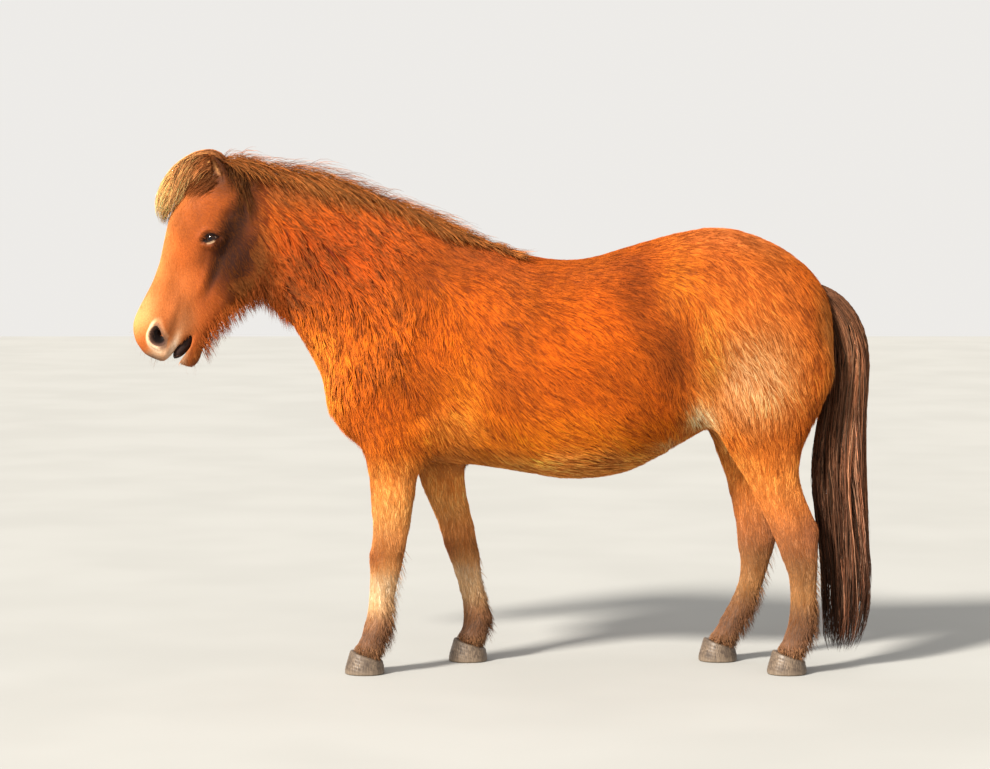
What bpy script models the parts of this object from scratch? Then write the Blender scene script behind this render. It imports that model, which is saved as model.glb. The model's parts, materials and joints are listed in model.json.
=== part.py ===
# A life-size Icelandic horse, standing still, in metres.
# It faces -Y, its left side is +X, +Z is up, and the floor is Z = 0.

import math

import bmesh
import bpy
import numpy as np
from mathutils import Matrix, Vector

# Driving dimensions: heights above the floor and lengths along the body.
WITHERS = 1.345
CROUP = 1.380
BELLY = 0.588
BARREL_HALF_WIDTH = 0.255
HEAD_LENGTH = 0.635
HEAD_SLOPE = math.radians(23.0)
FORE_TRACK = 0.122
HIND_TRACK = 0.126
HOOF_HEIGHT = 0.074
EYE_RADIUS = 0.0225
GAP = 0.0004

# The fine mesh that all the flesh is joined in, and what is left of it.
VOXEL = 0.0085
FLESH_TRIANGLES = 3500
RING_POINTS = 32

# The poll is where the head's own axes start: s runs down the face, t towards the throat.
POLL = Vector((0.0, -0.900, 1.575))
FACE_DOWN = Vector((0.0, -math.sin(HEAD_SLOPE), -math.cos(HEAD_SLOPE)))
FACE_BACK = Vector((0.0, math.cos(HEAD_SLOPE), -math.sin(HEAD_SLOPE)))

# Trunk stations: y, top, bottom, half width, height of the widest point, fullness above and below it.
TRUNK = {
    "breast": (-0.552, 1.000, 0.800, 0.085, 0.90, 2.0, 2.0),
    "shoulder_point": (-0.480, 1.120, 0.725, 0.160, 0.88, 2.0, 2.2),
    "shoulder": (-0.330, 1.270, 0.665, 0.196, 0.90, 1.8, 2.2),
    "elbow": (-0.200, WITHERS - 0.010, 0.640, 0.205, 0.90, 1.7, 2.2),
    "girth": (-0.060, WITHERS, 0.626, 0.222, 0.92, 1.75, 2.2),
    "saddle": (0.080, 1.296, 0.604, 0.243, 0.93, 1.9, 2.2),
    "barrel": (0.230, 1.279, BELLY, BARREL_HALF_WIDTH, 0.93, 2.05, 2.2),
    "last_rib": (0.380, 1.318, 0.608, 0.250, 0.95, 2.05, 2.2),
    "loin": (0.500, 1.354, 0.664, 0.230, 1.00, 2.05, 2.1),
    "hip": (0.610, 1.377, 0.722, 0.228, 1.08, 2.1, 2.0),
    "croup": (0.700, CROUP, 0.770, 0.232, 1.06, 2.05, 2.0),
    "thigh": (0.830, 1.339, 0.800, 0.226, 1.02, 1.95, 2.0),
    "rump": (0.940, 1.268, 0.830, 0.190, 1.00, 1.9, 2.0),
    "buttock": (1.005, 1.190, 0.860, 0.125, 0.99, 1.9, 2.0),
    "dock": (1.030, 1.130, 0.920, 0.060, 1.00, 2.0, 2.0),
}

# Neck stations: crest y and z, throat y and z, half width, place of the widest point from the throat
# as a share, fullness towards the crest and the throat.
NECK = {
    "base": (-0.060, 1.330, -0.520, 0.790, 0.165, 0.45, 1.8, 2.2),
    "shoulder": (-0.265, 1.426, -0.574, 0.925, 0.138, 0.42, 1.7, 2.1),
    "middle": (-0.420, 1.484, -0.635, 1.035, 0.112, 0.42, 1.65, 2.1),
    "upper": (-0.570, 1.526, -0.690, 1.095, 0.097, 0.45, 1.65, 2.1),
    "throat": (-0.710, 1.556, -0.738, 1.150, 0.088, 0.50, 1.7, 2.1),
    "nape": (-0.830, 1.572, -0.790, 1.215, 0.078, 0.55, 1.8, 2.0),
    "poll": (-0.900, 1.560, -0.850, 1.290, 0.064, 0.55, 1.9, 2.0),
}

# Skull stations: s, front t, back t, half width, place of the widest point from the back as a share,
# fullness towards the front and the back.
SKULL = {
    "poll": (0.000, 0.020, 0.150, 0.062, 0.50, 2.0, 2.0),
    "ears": (0.060, -0.026, 0.185, 0.084, 0.55, 2.2, 2.0),
    "brow": (0.135, -0.050, 0.200, 0.101, 0.55, 2.5, 2.0),
    "eyes": (0.210, -0.053, 0.195, 0.100, 0.55, 2.6, 2.0),
    "cheekbone": (0.290, -0.040, 0.180, 0.082, 0.55, 2.3, 2.0),
    "nose": (0.360, -0.029, 0.162, 0.064, 0.52, 2.1, 2.0),
    "narrows": (0.430, -0.029, 0.146, 0.054, 0.50, 2.0, 2.0),
    "muzzle": (0.500, -0.034, 0.134, 0.053, 0.50, 2.2, 2.1),
    "nostrils": (0.555, -0.032, 0.126, 0.056, 0.52, 2.3, 2.2),
    "upper_lip": (0.600, -0.008, 0.118, 0.050, 0.50, 2.2, 2.2),
    "lip_end": (HEAD_LENGTH - 0.003, 0.035, 0.106, 0.032, 0.50, 2.0, 2.0),
}
JAW = {
    "joint": (0.120, 0.060, 0.235, 0.062, 0.55, 2.2, 2.0),
    "angle": (0.215, 0.060, 0.285, 0.072, 0.60, 2.2, 2.3),
    "cheek": (0.295, 0.060, 0.298, 0.072, 0.60, 2.2, 2.3),
    "bar": (0.375, 0.060, 0.256, 0.058, 0.55, 2.2, 2.2),
    "chin_groove": (0.455, 0.060, 0.212, 0.046, 0.50, 2.2, 2.2),
    "chin_start": (0.515, 0.080, 0.199, 0.044, 0.50, 2.2, 2.2),
    "chin": (0.565, 0.110, 0.204, 0.041, 0.50, 2.2, 2.2),
    "lower_lip": (0.598, 0.128, 0.202, 0.036, 0.50, 2.2, 2.2),
    "lip_end": (0.615, 0.142, 0.190, 0.022, 0.50, 2.0, 2.0),
}

# Leg stations from the top down: height, y of the middle, half depth, half width, place of the widest
# point from the back as a share. Those of a joint keep their height on all four legs.
FORELEG = {
    "arm": (0.860, 0.000, 0.150, 0.066, 0.50),
    "elbow": (0.740, 0.000, 0.115, 0.068, 0.50),
    "forearm_top": (0.665, 0.000, 0.095, 0.064, 0.50),
    "forearm": (0.600, 0.002, 0.088, 0.057, 0.52),
    "forearm_mid": (0.530, 0.000, 0.078, 0.050, 0.55),
    "forearm_low": (0.460, -0.004, 0.069, 0.045, 0.55),
    "knee_top": (0.405, -0.010, 0.062, 0.047, 0.55),
    "knee": (0.365, -0.016, 0.060, 0.049, 0.55),
    "knee_foot": (0.322, -0.022, 0.056, 0.045, 0.52),
    "cannon_top": (0.280, -0.028, 0.050, 0.038, 0.50),
    "cannon": (0.225, -0.035, 0.046, 0.035, 0.50),
    "cannon_low": (0.175, -0.041, 0.047, 0.036, 0.50),
    "fetlock": (0.132, -0.048, 0.053, 0.042, 0.52),
    "pastern": (0.095, -0.066, 0.047, 0.041, 0.50),
    "coronet": (0.068, -0.078, 0.052, 0.049, 0.50),
    "sole": (0.026, -0.088, 0.050, 0.046, 0.50),
}
HINDLEG = {
    "thigh_top": (1.060, -0.100, 0.170, 0.075, 0.50),
    "thigh": (0.940, -0.090, 0.195, 0.092, 0.50),
    "stifle": (0.830, -0.110, 0.180, 0.090, 0.55),
    "gaskin_top": (0.740, -0.125, 0.152, 0.078, 0.55),
    "gaskin": (0.670, -0.120, 0.118, 0.066, 0.55),
    "gaskin_mid": (0.600, -0.098, 0.096, 0.055, 0.58),
    "gaskin_low": (0.530, -0.066, 0.090, 0.047, 0.62),
    "hock_point": (0.470, -0.038, 0.087, 0.045, 0.66),
    "hock": (0.415, -0.021, 0.077, 0.047, 0.62),
    "hock_foot": (0.360, -0.012, 0.066, 0.044, 0.58),
    "cannon_top": (0.310, -0.003, 0.053, 0.038, 0.52),
    "cannon": (0.240, 0.000, 0.047, 0.035, 0.50),
    "cannon_low": (0.180, 0.000, 0.048, 0.036, 0.50),
    "fetlock": (0.135, -0.006, 0.053, 0.042, 0.52),
    "pastern": (0.096, -0.025, 0.047, 0.041, 0.50),
    "coronet": (0.068, -0.040, 0.052, 0.049, 0.50),
    "sole": (0.026, -0.050, 0.050, 0.046, 0.50),
}

# How each leg stands: side, stations, y of its line at the top, and how far back each named height moves.
LEGS = {
    "foreleg_left": {
        "side": 1,
        "stations": FORELEG,
        "track": FORE_TRACK,
        "y": -0.336,
        "swing": ((0.860, 0.0), (0.0, 0.0)),
    },
    "foreleg_right": {
        "side": -1,
        "stations": FORELEG,
        "track": FORE_TRACK,
        "y": -0.336,
        "swing": (
            (0.860, 0.035),
            (0.700, 0.118),
            (0.530, 0.158),
            (0.360, 0.228),
            (0.132, 0.310),
            (0.0, 0.318),
        ),
    },
    "hindleg_left": {
        "side": 1,
        "stations": HINDLEG,
        "track": HIND_TRACK,
        "y": 0.928,
        "swing": ((1.060, 0.0), (0.0, 0.0)),
    },
    "hindleg_right": {
        "side": -1,
        "stations": HINDLEG,
        "track": HIND_TRACK,
        "y": 0.928,
        "swing": (
            (1.060, 0.0),
            (0.740, -0.012),
            (0.600, -0.045),
            (0.470, -0.080),
            (0.360, -0.112),
            (0.240, -0.142),
            (0.132, -0.186),
            (0.0, -0.196),
        ),
    },
}

# Muscles and bones that show, as ellipsoids: centre, radii and turn about X in degrees. Both sides get one.
MASSES = {
    "point_of_shoulder": ((0.098, -0.435, 0.880), (0.072, 0.092, 0.120), 20),
    "shoulder_blade": ((0.084, -0.235, 1.080), (0.078, 0.110, 0.190), -28),
    "triceps": ((0.126, -0.240, 0.850), (0.072, 0.130, 0.140), 15),
    "breast_muscle": ((0.060, -0.430, 0.805), (0.080, 0.095, 0.110), 0),
    "elbow_tip": ((0.124, -0.250, 0.705), (0.048, 0.046, 0.060), 0),
    "hip_bone": ((0.142, 0.605, 1.160), (0.070, 0.100, 0.100), 0),
    "thigh_muscle": ((0.114, 0.850, 0.990), (0.110, 0.160, 0.200), 12),
    "stifle_cap": ((0.134, 0.715, 0.815), (0.072, 0.095, 0.120), 25),
}
HEAD_MASSES = {
    "cheek_muscle": ((0.049, 0.262, 0.205), (0.028, 0.095, 0.082)),
    "brow_ridge": ((0.076, 0.172, 0.052), (0.028, 0.050, 0.044)),
    "eye_rim": ((0.075, 0.214, 0.094), (0.025, 0.044, 0.038)),
    "face_crest": ((0.042, 0.330, 0.108), (0.027, 0.120, 0.024)),
    "temple": ((0.056, 0.090, 0.090), (0.036, 0.070, 0.070)),
    "nostril_wing": ((0.034, 0.560, 0.048), (0.028, 0.050, 0.042)),
    "upper_lip_side": ((0.022, 0.592, 0.080), (0.030, 0.040, 0.036)),
    "ear_base": ((0.052, 0.040, 0.078), (0.032, 0.036, 0.038)),
}
MOUTH_CORNER = (0.507, 0.1555)
NOSTRIL = ((0.0600, 0.560, 0.056), (0.018, 0.024, 0.012), 24)

# Places where one mass runs softly into the next: middle, radius and rounds of smoothing.
BLENDS = {
    "breast": ((0.0, -0.46, 0.80), 0.22, 34),
    "shoulder_left": ((0.16, -0.30, 0.95), 0.30, 22),
    "shoulder_right": ((-0.16, -0.27, 0.95), 0.30, 22),
    "armpit_left": ((0.08, -0.26, 0.68), 0.13, 16),
    "armpit_right": ((-0.08, -0.20, 0.68), 0.13, 16),
    "withers": ((0.0, -0.15, 1.32), 0.26, 26),
    "throat": ((0.0, -0.76, 1.24), 0.13, 12),
    "jowl_left": ((0.08, -0.76, 1.30), 0.12, 9),
    "jowl_right": ((-0.08, -0.76, 1.30), 0.12, 9),
    "cheek_left": ((0.06, -0.95, 1.16), 0.13, 12),
    "cheek_right": ((-0.06, -0.95, 1.16), 0.13, 12),
    "nape": ((0.0, -0.84, 1.52), 0.14, 12),
    "flank_left": ((0.20, 0.57, 0.92), 0.24, 22),
    "flank_right": ((-0.20, 0.57, 0.92), 0.24, 22),
    "thigh_left": ((0.17, 0.85, 0.95), 0.26, 26),
    "thigh_right": ((-0.17, 0.85, 0.95), 0.26, 26),
    "groin": ((0.0, 0.72, 0.78), 0.16, 14),
    "rump": ((0.0, 0.95, 1.10), 0.22, 22),
    "hips": ((0.0, 0.62, 1.25), 0.25, 24),
}

# The hoof: sole and top outlines as how far before and behind the leg's sole they reach, half width, height.
HOOF_SOLE = (0.062, 0.062, 0.057, 0.0)
HOOF_WALL = (0.060, 0.061, 0.056, 0.018)
HOOF_TOP_FRONT = (-0.044, HOOF_HEIGHT)
HOOF_TOP_BACK = (0.056, 0.040)
HOOF_TOP_HALF_WIDTH = 0.049

# Ear stations from root to tip: share of the length, radius across, depth of the cup, turn of the two edges.
EAR_ROOT = Vector((0.060, -0.846, 1.462))
EAR_TIP = Vector((0.092, -0.907, 1.604))
EAR_OPENING = Vector((0.70, -0.70, -0.10))
EAR_WALL = 0.0065
EAR = {
    "root": (-0.14, 0.023, 0.024, 150),
    "foot": (0.08, 0.027, 0.028, 135),
    "low": (0.26, 0.031, 0.030, 112),
    "middle": (0.46, 0.031, 0.027, 100),
    "high": (0.66, 0.026, 0.021, 95),
    "upper": (0.83, 0.018, 0.014, 92),
    "near_tip": (0.94, 0.0095, 0.0075, 92),
    "tip": (1.0, 0.0035, 0.0038, 92),
}

# The hair. Mane: y, height over the crest, how far it falls on the right. The others: outer y and z,
# inner y and z, half width.
MANE = {
    "poll": (-0.8676, 0.050, 0.060),
    "nape": (-0.760, 0.054, 0.090),
    "upper": (-0.640, 0.063, 0.125),
    "middle": (-0.500, 0.056, 0.135),
    "lower": (-0.350, 0.047, 0.120),
    "shoulder": (-0.210, 0.040, 0.090),
    "withers": (-0.090, 0.030, 0.060),
    "end": (0.045, 0.010, 0.030),
}
FORELOCK = {
    "root": (-0.868, 1.620, -0.868, 1.545, 0.040),
    "poll": (-0.925, 1.621, -0.897, 1.520, 0.056),
    "fringe": (-0.982, 1.597, -0.925, 1.484, 0.070),
    "brow": (-1.034, 1.551, -0.952, 1.448, 0.076),
    "forehead": (-1.065, 1.498, -0.980, 1.425, 0.073),
    "low": (-1.075, 1.448, -1.000, 1.402, 0.060),
    "tips": (-1.071, 1.412, -1.020, 1.385, 0.040),
    "end": (-1.060, 1.380, -1.044, 1.374, 0.012),
}
TAIL = {
    "root": (1.000, 1.205, 0.975, 1.150, 0.026),
    "dock": (1.052, 1.182, 1.000, 1.105, 0.040),
    "bend": (1.106, 1.135, 1.015, 1.055, 0.052),
    "upper": (1.138, 1.072, 1.020, 0.995, 0.062),
    "high": (1.142, 0.988, 1.015, 0.925, 0.068),
    "rump": (1.136, 0.880, 1.000, 0.838, 0.072),
    "thigh": (1.128, 0.760, 0.978, 0.738, 0.075),
    "gaskin": (1.130, 0.640, 0.964, 0.622, 0.077),
    "hock": (1.137, 0.515, 0.974, 0.500, 0.078),
    "cannon": (1.144, 0.390, 0.996, 0.380, 0.078),
    "low": (1.152, 0.255, 1.001, 0.250, 0.076),
    "skirt": (1.147, 0.155, 1.004, 0.150, 0.068),
    "tips": (1.122, 0.082, 1.010, 0.078, 0.050),
    "end": (1.100, 0.040, 1.024, 0.042, 0.026),
}

# Thin cuts that part the flesh, seen from the side: y and z of both ends, then the middle x and half width.
CUTS = {
    "nape": ((-0.762, 1.640), (-0.702, 1.080), 0.0, 0.20),
    "neck_root": ((-0.080, 1.440), (-0.620, 0.905), 0.0, 0.32),
    "tail_fall": ((0.960, 0.985), (1.200, 1.025), 0.0, 0.12),
}
LEG_CUTS = {
    "foreleg": ((0.610, 0.130), (0.412, 0.085), (0.316, 0.085), (0.166, 0.085)),
    "hindleg": ((0.695, 0.190), (0.484, 0.125), (0.346, 0.095), (0.170, 0.085)),
}
LEG_NODES = {
    "foreleg": ("forearm", "knee", "cannon", "pastern"),
    "hindleg": ("gaskin", "hock", "cannon", "pastern"),
}

COLOURS = {
    "coat": (0.42, 0.085, 0.018, 0.75, 0.0),
    "lower_leg": (0.34, 0.17, 0.075, 0.80, 0.0),
    "mane_hair": (0.22, 0.095, 0.040, 0.65, 0.0),
    "tail_hair": (0.060, 0.028, 0.016, 0.60, 0.0),
    "eyeball": (0.010, 0.006, 0.005, 0.08, 0.0),
    "horn": (0.055, 0.045, 0.038, 0.45, 0.0),
}


def clear_scene():
    for thing in list(bpy.data.objects):
        bpy.data.objects.remove(thing, do_unlink=True)
    for group in list(bpy.data.collections):
        bpy.data.collections.remove(group)


def new_collection(name):
    group = bpy.data.collections.new(name)
    bpy.context.scene.collection.children.link(group)
    return group


def material(name):
    found = bpy.data.materials.get(name)
    if found:
        return found
    made = bpy.data.materials.new(name)
    made.use_nodes = True
    red, green, blue, roughness, metallic = COLOURS[name]
    shader = made.node_tree.nodes["Principled BSDF"]
    shader.inputs["Base Color"].default_value = (red, green, blue, 1.0)
    shader.inputs["Roughness"].default_value = roughness
    shader.inputs["Metallic"].default_value = metallic
    return made


def object_of(name, mesh, group):
    made = bpy.data.objects.new(name, mesh)
    group.objects.link(made)
    return made


def evaluated_mesh(thing):
    graph = bpy.context.evaluated_depsgraph_get()
    mesh = bpy.data.meshes.new_from_object(thing.evaluated_get(graph))
    mesh.transform(thing.matrix_world)
    return mesh


def baked(thing, name, group):
    """The object with its modifiers applied, as a new one. The old one goes."""
    made = object_of(name, evaluated_mesh(thing), group)
    bpy.data.objects.remove(thing, do_unlink=True)
    return made


def smooth_between(rows, count):
    """The rows of numbers with `count` rows worked out between each two, on a Catmull-Rom curve."""
    rows = np.array(rows, float)
    padded = np.vstack([2 * rows[0] - rows[1], rows, 2 * rows[-1] - rows[-2]])
    found = []
    for i in range(1, len(padded) - 2):
        a, b, c, d = padded[i - 1 : i + 3]
        for t in np.arange(count) / count:
            curve = 2 * b + (c - a) * t + (2 * a - 5 * b + 4 * c - d) * t * t
            found.append(0.5 * (curve + (3 * b - a - 3 * c + d) * t**3))
    found.append(rows[-1])
    return np.array(found)


def egg(half_width, length, widest, far_fullness, near_fullness, points=RING_POINTS):
    """A closed outline: across, and along from 0 to length. It is widest at the share `widest`."""
    outline = []
    for i in range(points):
        angle = 2 * math.pi * i / points
        c, s = math.cos(angle), math.sin(angle)
        power = 2 / (far_fullness if s > 0 else near_fullness)
        reach = length * (1 - widest) if s > 0 else length * widest
        across = half_width * math.copysign(abs(c) ** power, c)
        along = length * widest + reach * math.copysign(abs(s) ** power, s)
        outline.append((across, along))
    return outline


def loft(name, rings, group):
    """A closed skin over rings of points that have the same count."""
    shape = bmesh.new()
    rows = [[shape.verts.new(point) for point in ring] for ring in rings]
    for first, second in zip(rows, rows[1:]):
        for i in range(len(first)):
            after = (i + 1) % len(first)
            shape.faces.new((first[i], first[after], second[after], second[i]))
    shape.faces.new(rows[0])
    shape.faces.new(rows[-1])
    bmesh.ops.recalc_face_normals(shape, faces=shape.faces)
    mesh = bpy.data.meshes.new(name)
    shape.to_mesh(mesh)
    shape.free()
    return object_of(name, mesh, group)


def ellipsoid(name, centre, radii, turn, group, segments=28, rings=18):
    shape = bmesh.new()
    bmesh.ops.create_uvsphere(shape, u_segments=segments, v_segments=rings, radius=1.0)
    bmesh.ops.transform(shape, matrix=Matrix.Diagonal((*radii, 1.0)), verts=shape.verts)
    bmesh.ops.transform(shape, matrix=turn, verts=shape.verts)
    bmesh.ops.translate(shape, vec=centre, verts=shape.verts)
    mesh = bpy.data.meshes.new(name)
    shape.to_mesh(mesh)
    shape.free()
    return object_of(name, mesh, group)


def head_point(x, s, t):
    return POLL + FACE_DOWN * s + FACE_BACK * t + Vector((x, 0.0, 0.0))


def trunk_body(group):
    rings = []
    for y, top, bottom, half_width, wide_z, above, below in smooth_between(list(TRUNK.values()), 5):
        widest = (wide_z - bottom) / (top - bottom)
        outline = egg(half_width, top - bottom, widest, above, below)
        rings.append([(x, y, bottom + up) for x, up in outline])
    return loft("trunk_body", rings, group)


def neck_body(group):
    rings = []
    for row in smooth_between(list(NECK.values()), 5):
        crest, throat = Vector((0.0, row[0], row[1])), Vector((0.0, row[2], row[3]))
        way = (crest - throat).normalized()
        outline = egg(row[4], (crest - throat).length, row[5], row[6], row[7])
        rings.append([throat + way * up + Vector((x, 0.0, 0.0)) for x, up in outline])
    return loft("neck_body", rings, group)


def head_loft(name, stations, group):
    rings = []
    for s, front, back, half_width, widest, forward, rear in smooth_between(list(stations.values()), 5):
        outline = egg(half_width, back - front, widest, forward, rear)
        rings.append([head_point(x, s, back - up) for x, up in outline])
    return loft(name, rings, group)


def leg_swing(leg, height):
    """How far back of its plain line the leg is at this height."""
    heights, shifts = zip(*sorted(leg["swing"]))
    return float(np.interp(height, heights, shifts))


def leg_middle(leg, station):
    height, y = leg["stations"][station][:2]
    return Vector((leg["side"] * leg["track"], leg["y"] + y + leg_swing(leg, height), height))


def leg_body(name, leg, group):
    rings = []
    for height, y, half_depth, half_width, widest in smooth_between(list(leg["stations"].values()), 4):
        back = leg["y"] + y + leg_swing(leg, height) + half_depth
        outline = egg(half_width, 2 * half_depth, widest, 2.1, 2.1)
        x = leg["side"] * leg["track"]
        rings.append([(x + across, back - along, height) for across, along in outline])
    return loft(name + "_body", rings, group)


def muscle_bodies(group):
    made = []
    for side in (1, -1):
        for name, ((x, y, z), radii, degrees) in MASSES.items():
            turn = Matrix.Rotation(math.radians(degrees), 4, "X")
            made.append(ellipsoid(name, (side * x, y, z), radii, turn, group))
        for name, ((x, s, t), (across, down, deep)) in HEAD_MASSES.items():
            turn = Matrix((Vector((1, 0, 0)), FACE_DOWN, FACE_BACK)).transposed().to_4x4()
            made.append(ellipsoid(name, head_point(side * x, s, t), (across, down, deep), turn, group))
    return made


def joined(pieces, name, group):
    shape = bmesh.new()
    for piece in pieces:
        shape.from_mesh(piece.data)
        bpy.data.objects.remove(piece, do_unlink=True)
    mesh = bpy.data.meshes.new(name)
    shape.to_mesh(mesh)
    shape.free()
    return object_of(name, mesh, group)


def mesh_points(mesh):
    points = np.empty(len(mesh.vertices) * 3, np.float32)
    mesh.vertices.foreach_get("co", points)
    return points.reshape(-1, 3).astype(float)


def neighbour_mean(points, edges, degree):
    total = np.zeros_like(points)
    for axis in range(3):
        total[:, axis] = np.bincount(edges[:, 0], points[edges[:, 1], axis], len(points))
        total[:, axis] += np.bincount(edges[:, 1], points[edges[:, 0], axis], len(points))
    return total / degree[:, None]


def soften(mesh, rounds):
    """Rounds off the joins. Each inward step is followed by one outward, so that thin parts keep their size,
    and then the named blends are smoothed further."""
    points = mesh_points(mesh)
    edges = np.empty(len(mesh.edges) * 2, np.int32)
    mesh.edges.foreach_get("vertices", edges)
    edges = edges.reshape(-1, 2)
    degree = np.bincount(edges.ravel(), minlength=len(points)).astype(float)
    for centre, radius, times in BLENDS.values():
        distance = np.linalg.norm(points - np.array(centre), axis=1)
        share = np.clip(1.5 * (1 - distance / radius), 0, 1)[:, None]
        for _ in range(times):
            points += 0.6 * share * (neighbour_mean(points, edges, degree) - points)
    for _ in range(rounds):
        for step in (0.5, -0.52):
            points += step * (neighbour_mean(points, edges, degree) - points)
    mesh.vertices.foreach_set("co", points.astype(np.float32).ravel())
    mesh.update()


def weigh_detail(thing):
    """Says where triangles can go: 1 on the trunk and neck, less on the legs, least on the head."""
    group = thing.vertex_groups.new(name="plain")
    face = np.array(FACE_BACK)
    for i, point in enumerate(mesh_points(thing.data)):
        on_head = point[1] < -0.60 and (point - np.array(POLL)) @ face < 0.26
        weight = 0.1 if on_head else 0.85 if point[2] < 0.60 else 1.0
        group.add([i], weight, "REPLACE")


def flesh(group):
    bodies = [trunk_body(group), neck_body(group)]
    bodies += [head_loft("skull_body", SKULL, group), head_loft("jaw_body", JAW, group)]
    bodies += [leg_body(name, leg, group) for name, leg in LEGS.items()]
    bodies += muscle_bodies(group)
    whole = joined(bodies, "whole", group)
    remesh = whole.modifiers.new("one skin", "REMESH")
    remesh.mode = "VOXEL"
    remesh.voxel_size = VOXEL
    whole = baked(whole, "whole", group)
    soften(whole.data, 10)
    weigh_detail(whole)
    decimate = whole.modifiers.new("fewer faces", "DECIMATE")
    decimate.ratio = FLESH_TRIANGLES / (2 * len(whole.data.polygons))
    decimate.use_collapse_triangulate = True
    decimate.vertex_group = "plain"
    decimate.vertex_group_factor = 0.00002
    return baked(whole, "whole", group)


def less(thing, cutters, group):
    """The object with each cutter taken out of it, one Boolean after another."""
    name = thing.name
    for cutter in cutters:
        taken = thing.modifiers.new(cutter.name, "BOOLEAN")
        taken.operation = "DIFFERENCE"
        taken.solver = "EXACT"
        taken.object = cutter
        bpy.context.view_layer.update()
        thing = baked(thing, name, group)
    thing.name = name
    return thing


def slab(name, first, second, middle_x, half_width, group):
    """A plate as thick as the gap, standing on the line between two points (y, z)."""
    first, second = Vector((middle_x, *first)), Vector((middle_x, *second))
    way = (second - first).normalized()
    up = Vector((1.0, 0.0, 0.0)).cross(way)
    axes = Matrix((Vector((1.0, 0.0, 0.0)) * 2 * half_width, way * (second - first).length, up * GAP))
    shape = bmesh.new()
    bmesh.ops.create_cube(shape, size=1.0)
    bmesh.ops.transform(shape, matrix=axes.transposed().to_4x4(), verts=shape.verts)
    bmesh.ops.translate(shape, vec=(first + second) / 2, verts=shape.verts)
    bmesh.ops.recalc_face_normals(shape, faces=shape.faces)
    mesh = bpy.data.meshes.new(name)
    shape.to_mesh(mesh)
    shape.free()
    return object_of(name, mesh, group)


def mouth_wedge(group):
    """The slit of the mouth: closed at its corner and open at the lips."""
    upper = (MOUTH_CORNER, (0.560, 0.1290), (0.680, 0.0950))
    lower = ((0.680, 0.1300), (0.600, 0.1520), (0.550, 0.1650))
    rings = [[head_point(x, s, t) for s, t in upper + lower] for x in (-0.09, 0.09)]
    return loft("mouth_wedge", rings, group)


def coronet_line(leg, lift):
    """The slanting line of the top of a hoof, from heel to toe, as points (y, z) raised by `lift`."""
    sole = leg_middle(leg, "sole")
    front = (sole.y + HOOF_TOP_FRONT[0], HOOF_TOP_FRONT[1] + lift)
    back = (sole.y + HOOF_TOP_BACK[0], HOOF_TOP_BACK[1] + lift)
    return front, back


def hoof_body(name, leg, group):
    sole = leg_middle(leg, "sole")
    rings = []
    for before, behind, half_width, height in (HOOF_SOLE, HOOF_WALL):
        outline = egg(half_width, before + behind, 0.50, 2.1, 2.3, 18)
        rings.append([(sole.x + x, sole.y + behind - along, height) for x, along in outline])
    front, back = coronet_line(leg, -GAP)
    rise = Vector((0.0, front[0] - back[0], front[1] - back[1]))
    outline = egg(HOOF_TOP_HALF_WIDTH, 1.0, 0.50, 2.0, 2.1, 18)
    rings.append([Vector((sole.x + x, *back)) + rise * along for x, along in outline])
    return loft(name, rings, group)


def ear_body(name, side, group):
    root, tip = EAR_ROOT.copy(), EAR_TIP.copy()
    opening = EAR_OPENING.copy()
    for place in (root, tip, opening):
        place.x *= side
    way = (tip - root).normalized()
    opening = (opening - way * opening.dot(way)).normalized()
    across = way.cross(opening)
    rings = []
    for share, radius, depth, edge_turn in EAR.values():
        middle = root.lerp(tip, share) - opening * 0.012 * math.sin(math.pi * min(max(share, 0), 1))
        wall = min(EAR_WALL, 0.6 * radius)
        ring = []
        for out, turns in ((0.0, range(-3, 4)), (wall, range(3, -4, -1))):
            for turn in turns:
                angle = math.radians(edge_turn) * turn / 3
                back, aside = -math.cos(angle) * (depth - out), math.sin(angle) * (radius - out)
                ring.append(middle + opening * back + across * aside)
        rings.append(ring)
    return loft(name, rings, group)


def mane_body(group):
    rings = []
    crest = smooth_between(list(NECK.values()), 12)[::-1]
    back = smooth_between(list(TRUNK.values()), 12)
    for y, height, fall in smooth_between(list(MANE.values()), 2):
        on_neck = np.interp(y, crest[:, 0], crest[:, 1], right=0.0)
        z = max(on_neck, np.interp(y, back[:, 0], back[:, 1]))
        half_width = np.interp(y, crest[:, 0], crest[:, 4])
        side_low, side_mid = -half_width * 0.80 - 0.016, -half_width * 0.62 - 0.024
        outline = (
            (0.038, -0.040),
            (0.036, 0.10 * height),
            (0.012, 0.95 * height),
            (-0.010, height),
            (-0.038, 0.70 * height),
            (side_mid, -0.40 * fall),
            (side_low, -fall),
            (side_low + 0.030, -fall - 0.010),
            (-0.020, -0.50 * fall - 0.030),
        )
        slim = min(1.0, 0.35 + 0.65 * height / MANE["lower"][1])
        rings.append([(x * slim, y, z + up) for x, up in outline])
    return loft("mane", rings, group)


def hair_body(name, stations, group, points=12):
    rings = []
    for row in smooth_between(list(stations.values()), 1):
        outer, inner = Vector((0.0, row[0], row[1])), Vector((0.0, row[2], row[3]))
        way = (outer - inner).normalized()
        outline = egg(row[4], (outer - inner).length, 0.50, 2.0, 2.2, points)
        rings.append([inner + way * up + Vector((x, 0.0, 0.0)) for x, up in outline])
    return loft(name, rings, group)


def swollen(thing, name, group):
    """A copy of the object, bigger all round by the gap, to cut its neighbours with."""
    shape = bmesh.new()
    shape.from_mesh(thing.data)
    bmesh.ops.recalc_face_normals(shape, faces=shape.faces)
    shape.normal_update()
    moves = [vert.normal * GAP for vert in shape.verts]
    for vert, move in zip(shape.verts, moves):
        vert.co += move
    mesh = bpy.data.meshes.new(name)
    shape.to_mesh(mesh)
    shape.free()
    return object_of(name, mesh, group)


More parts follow.
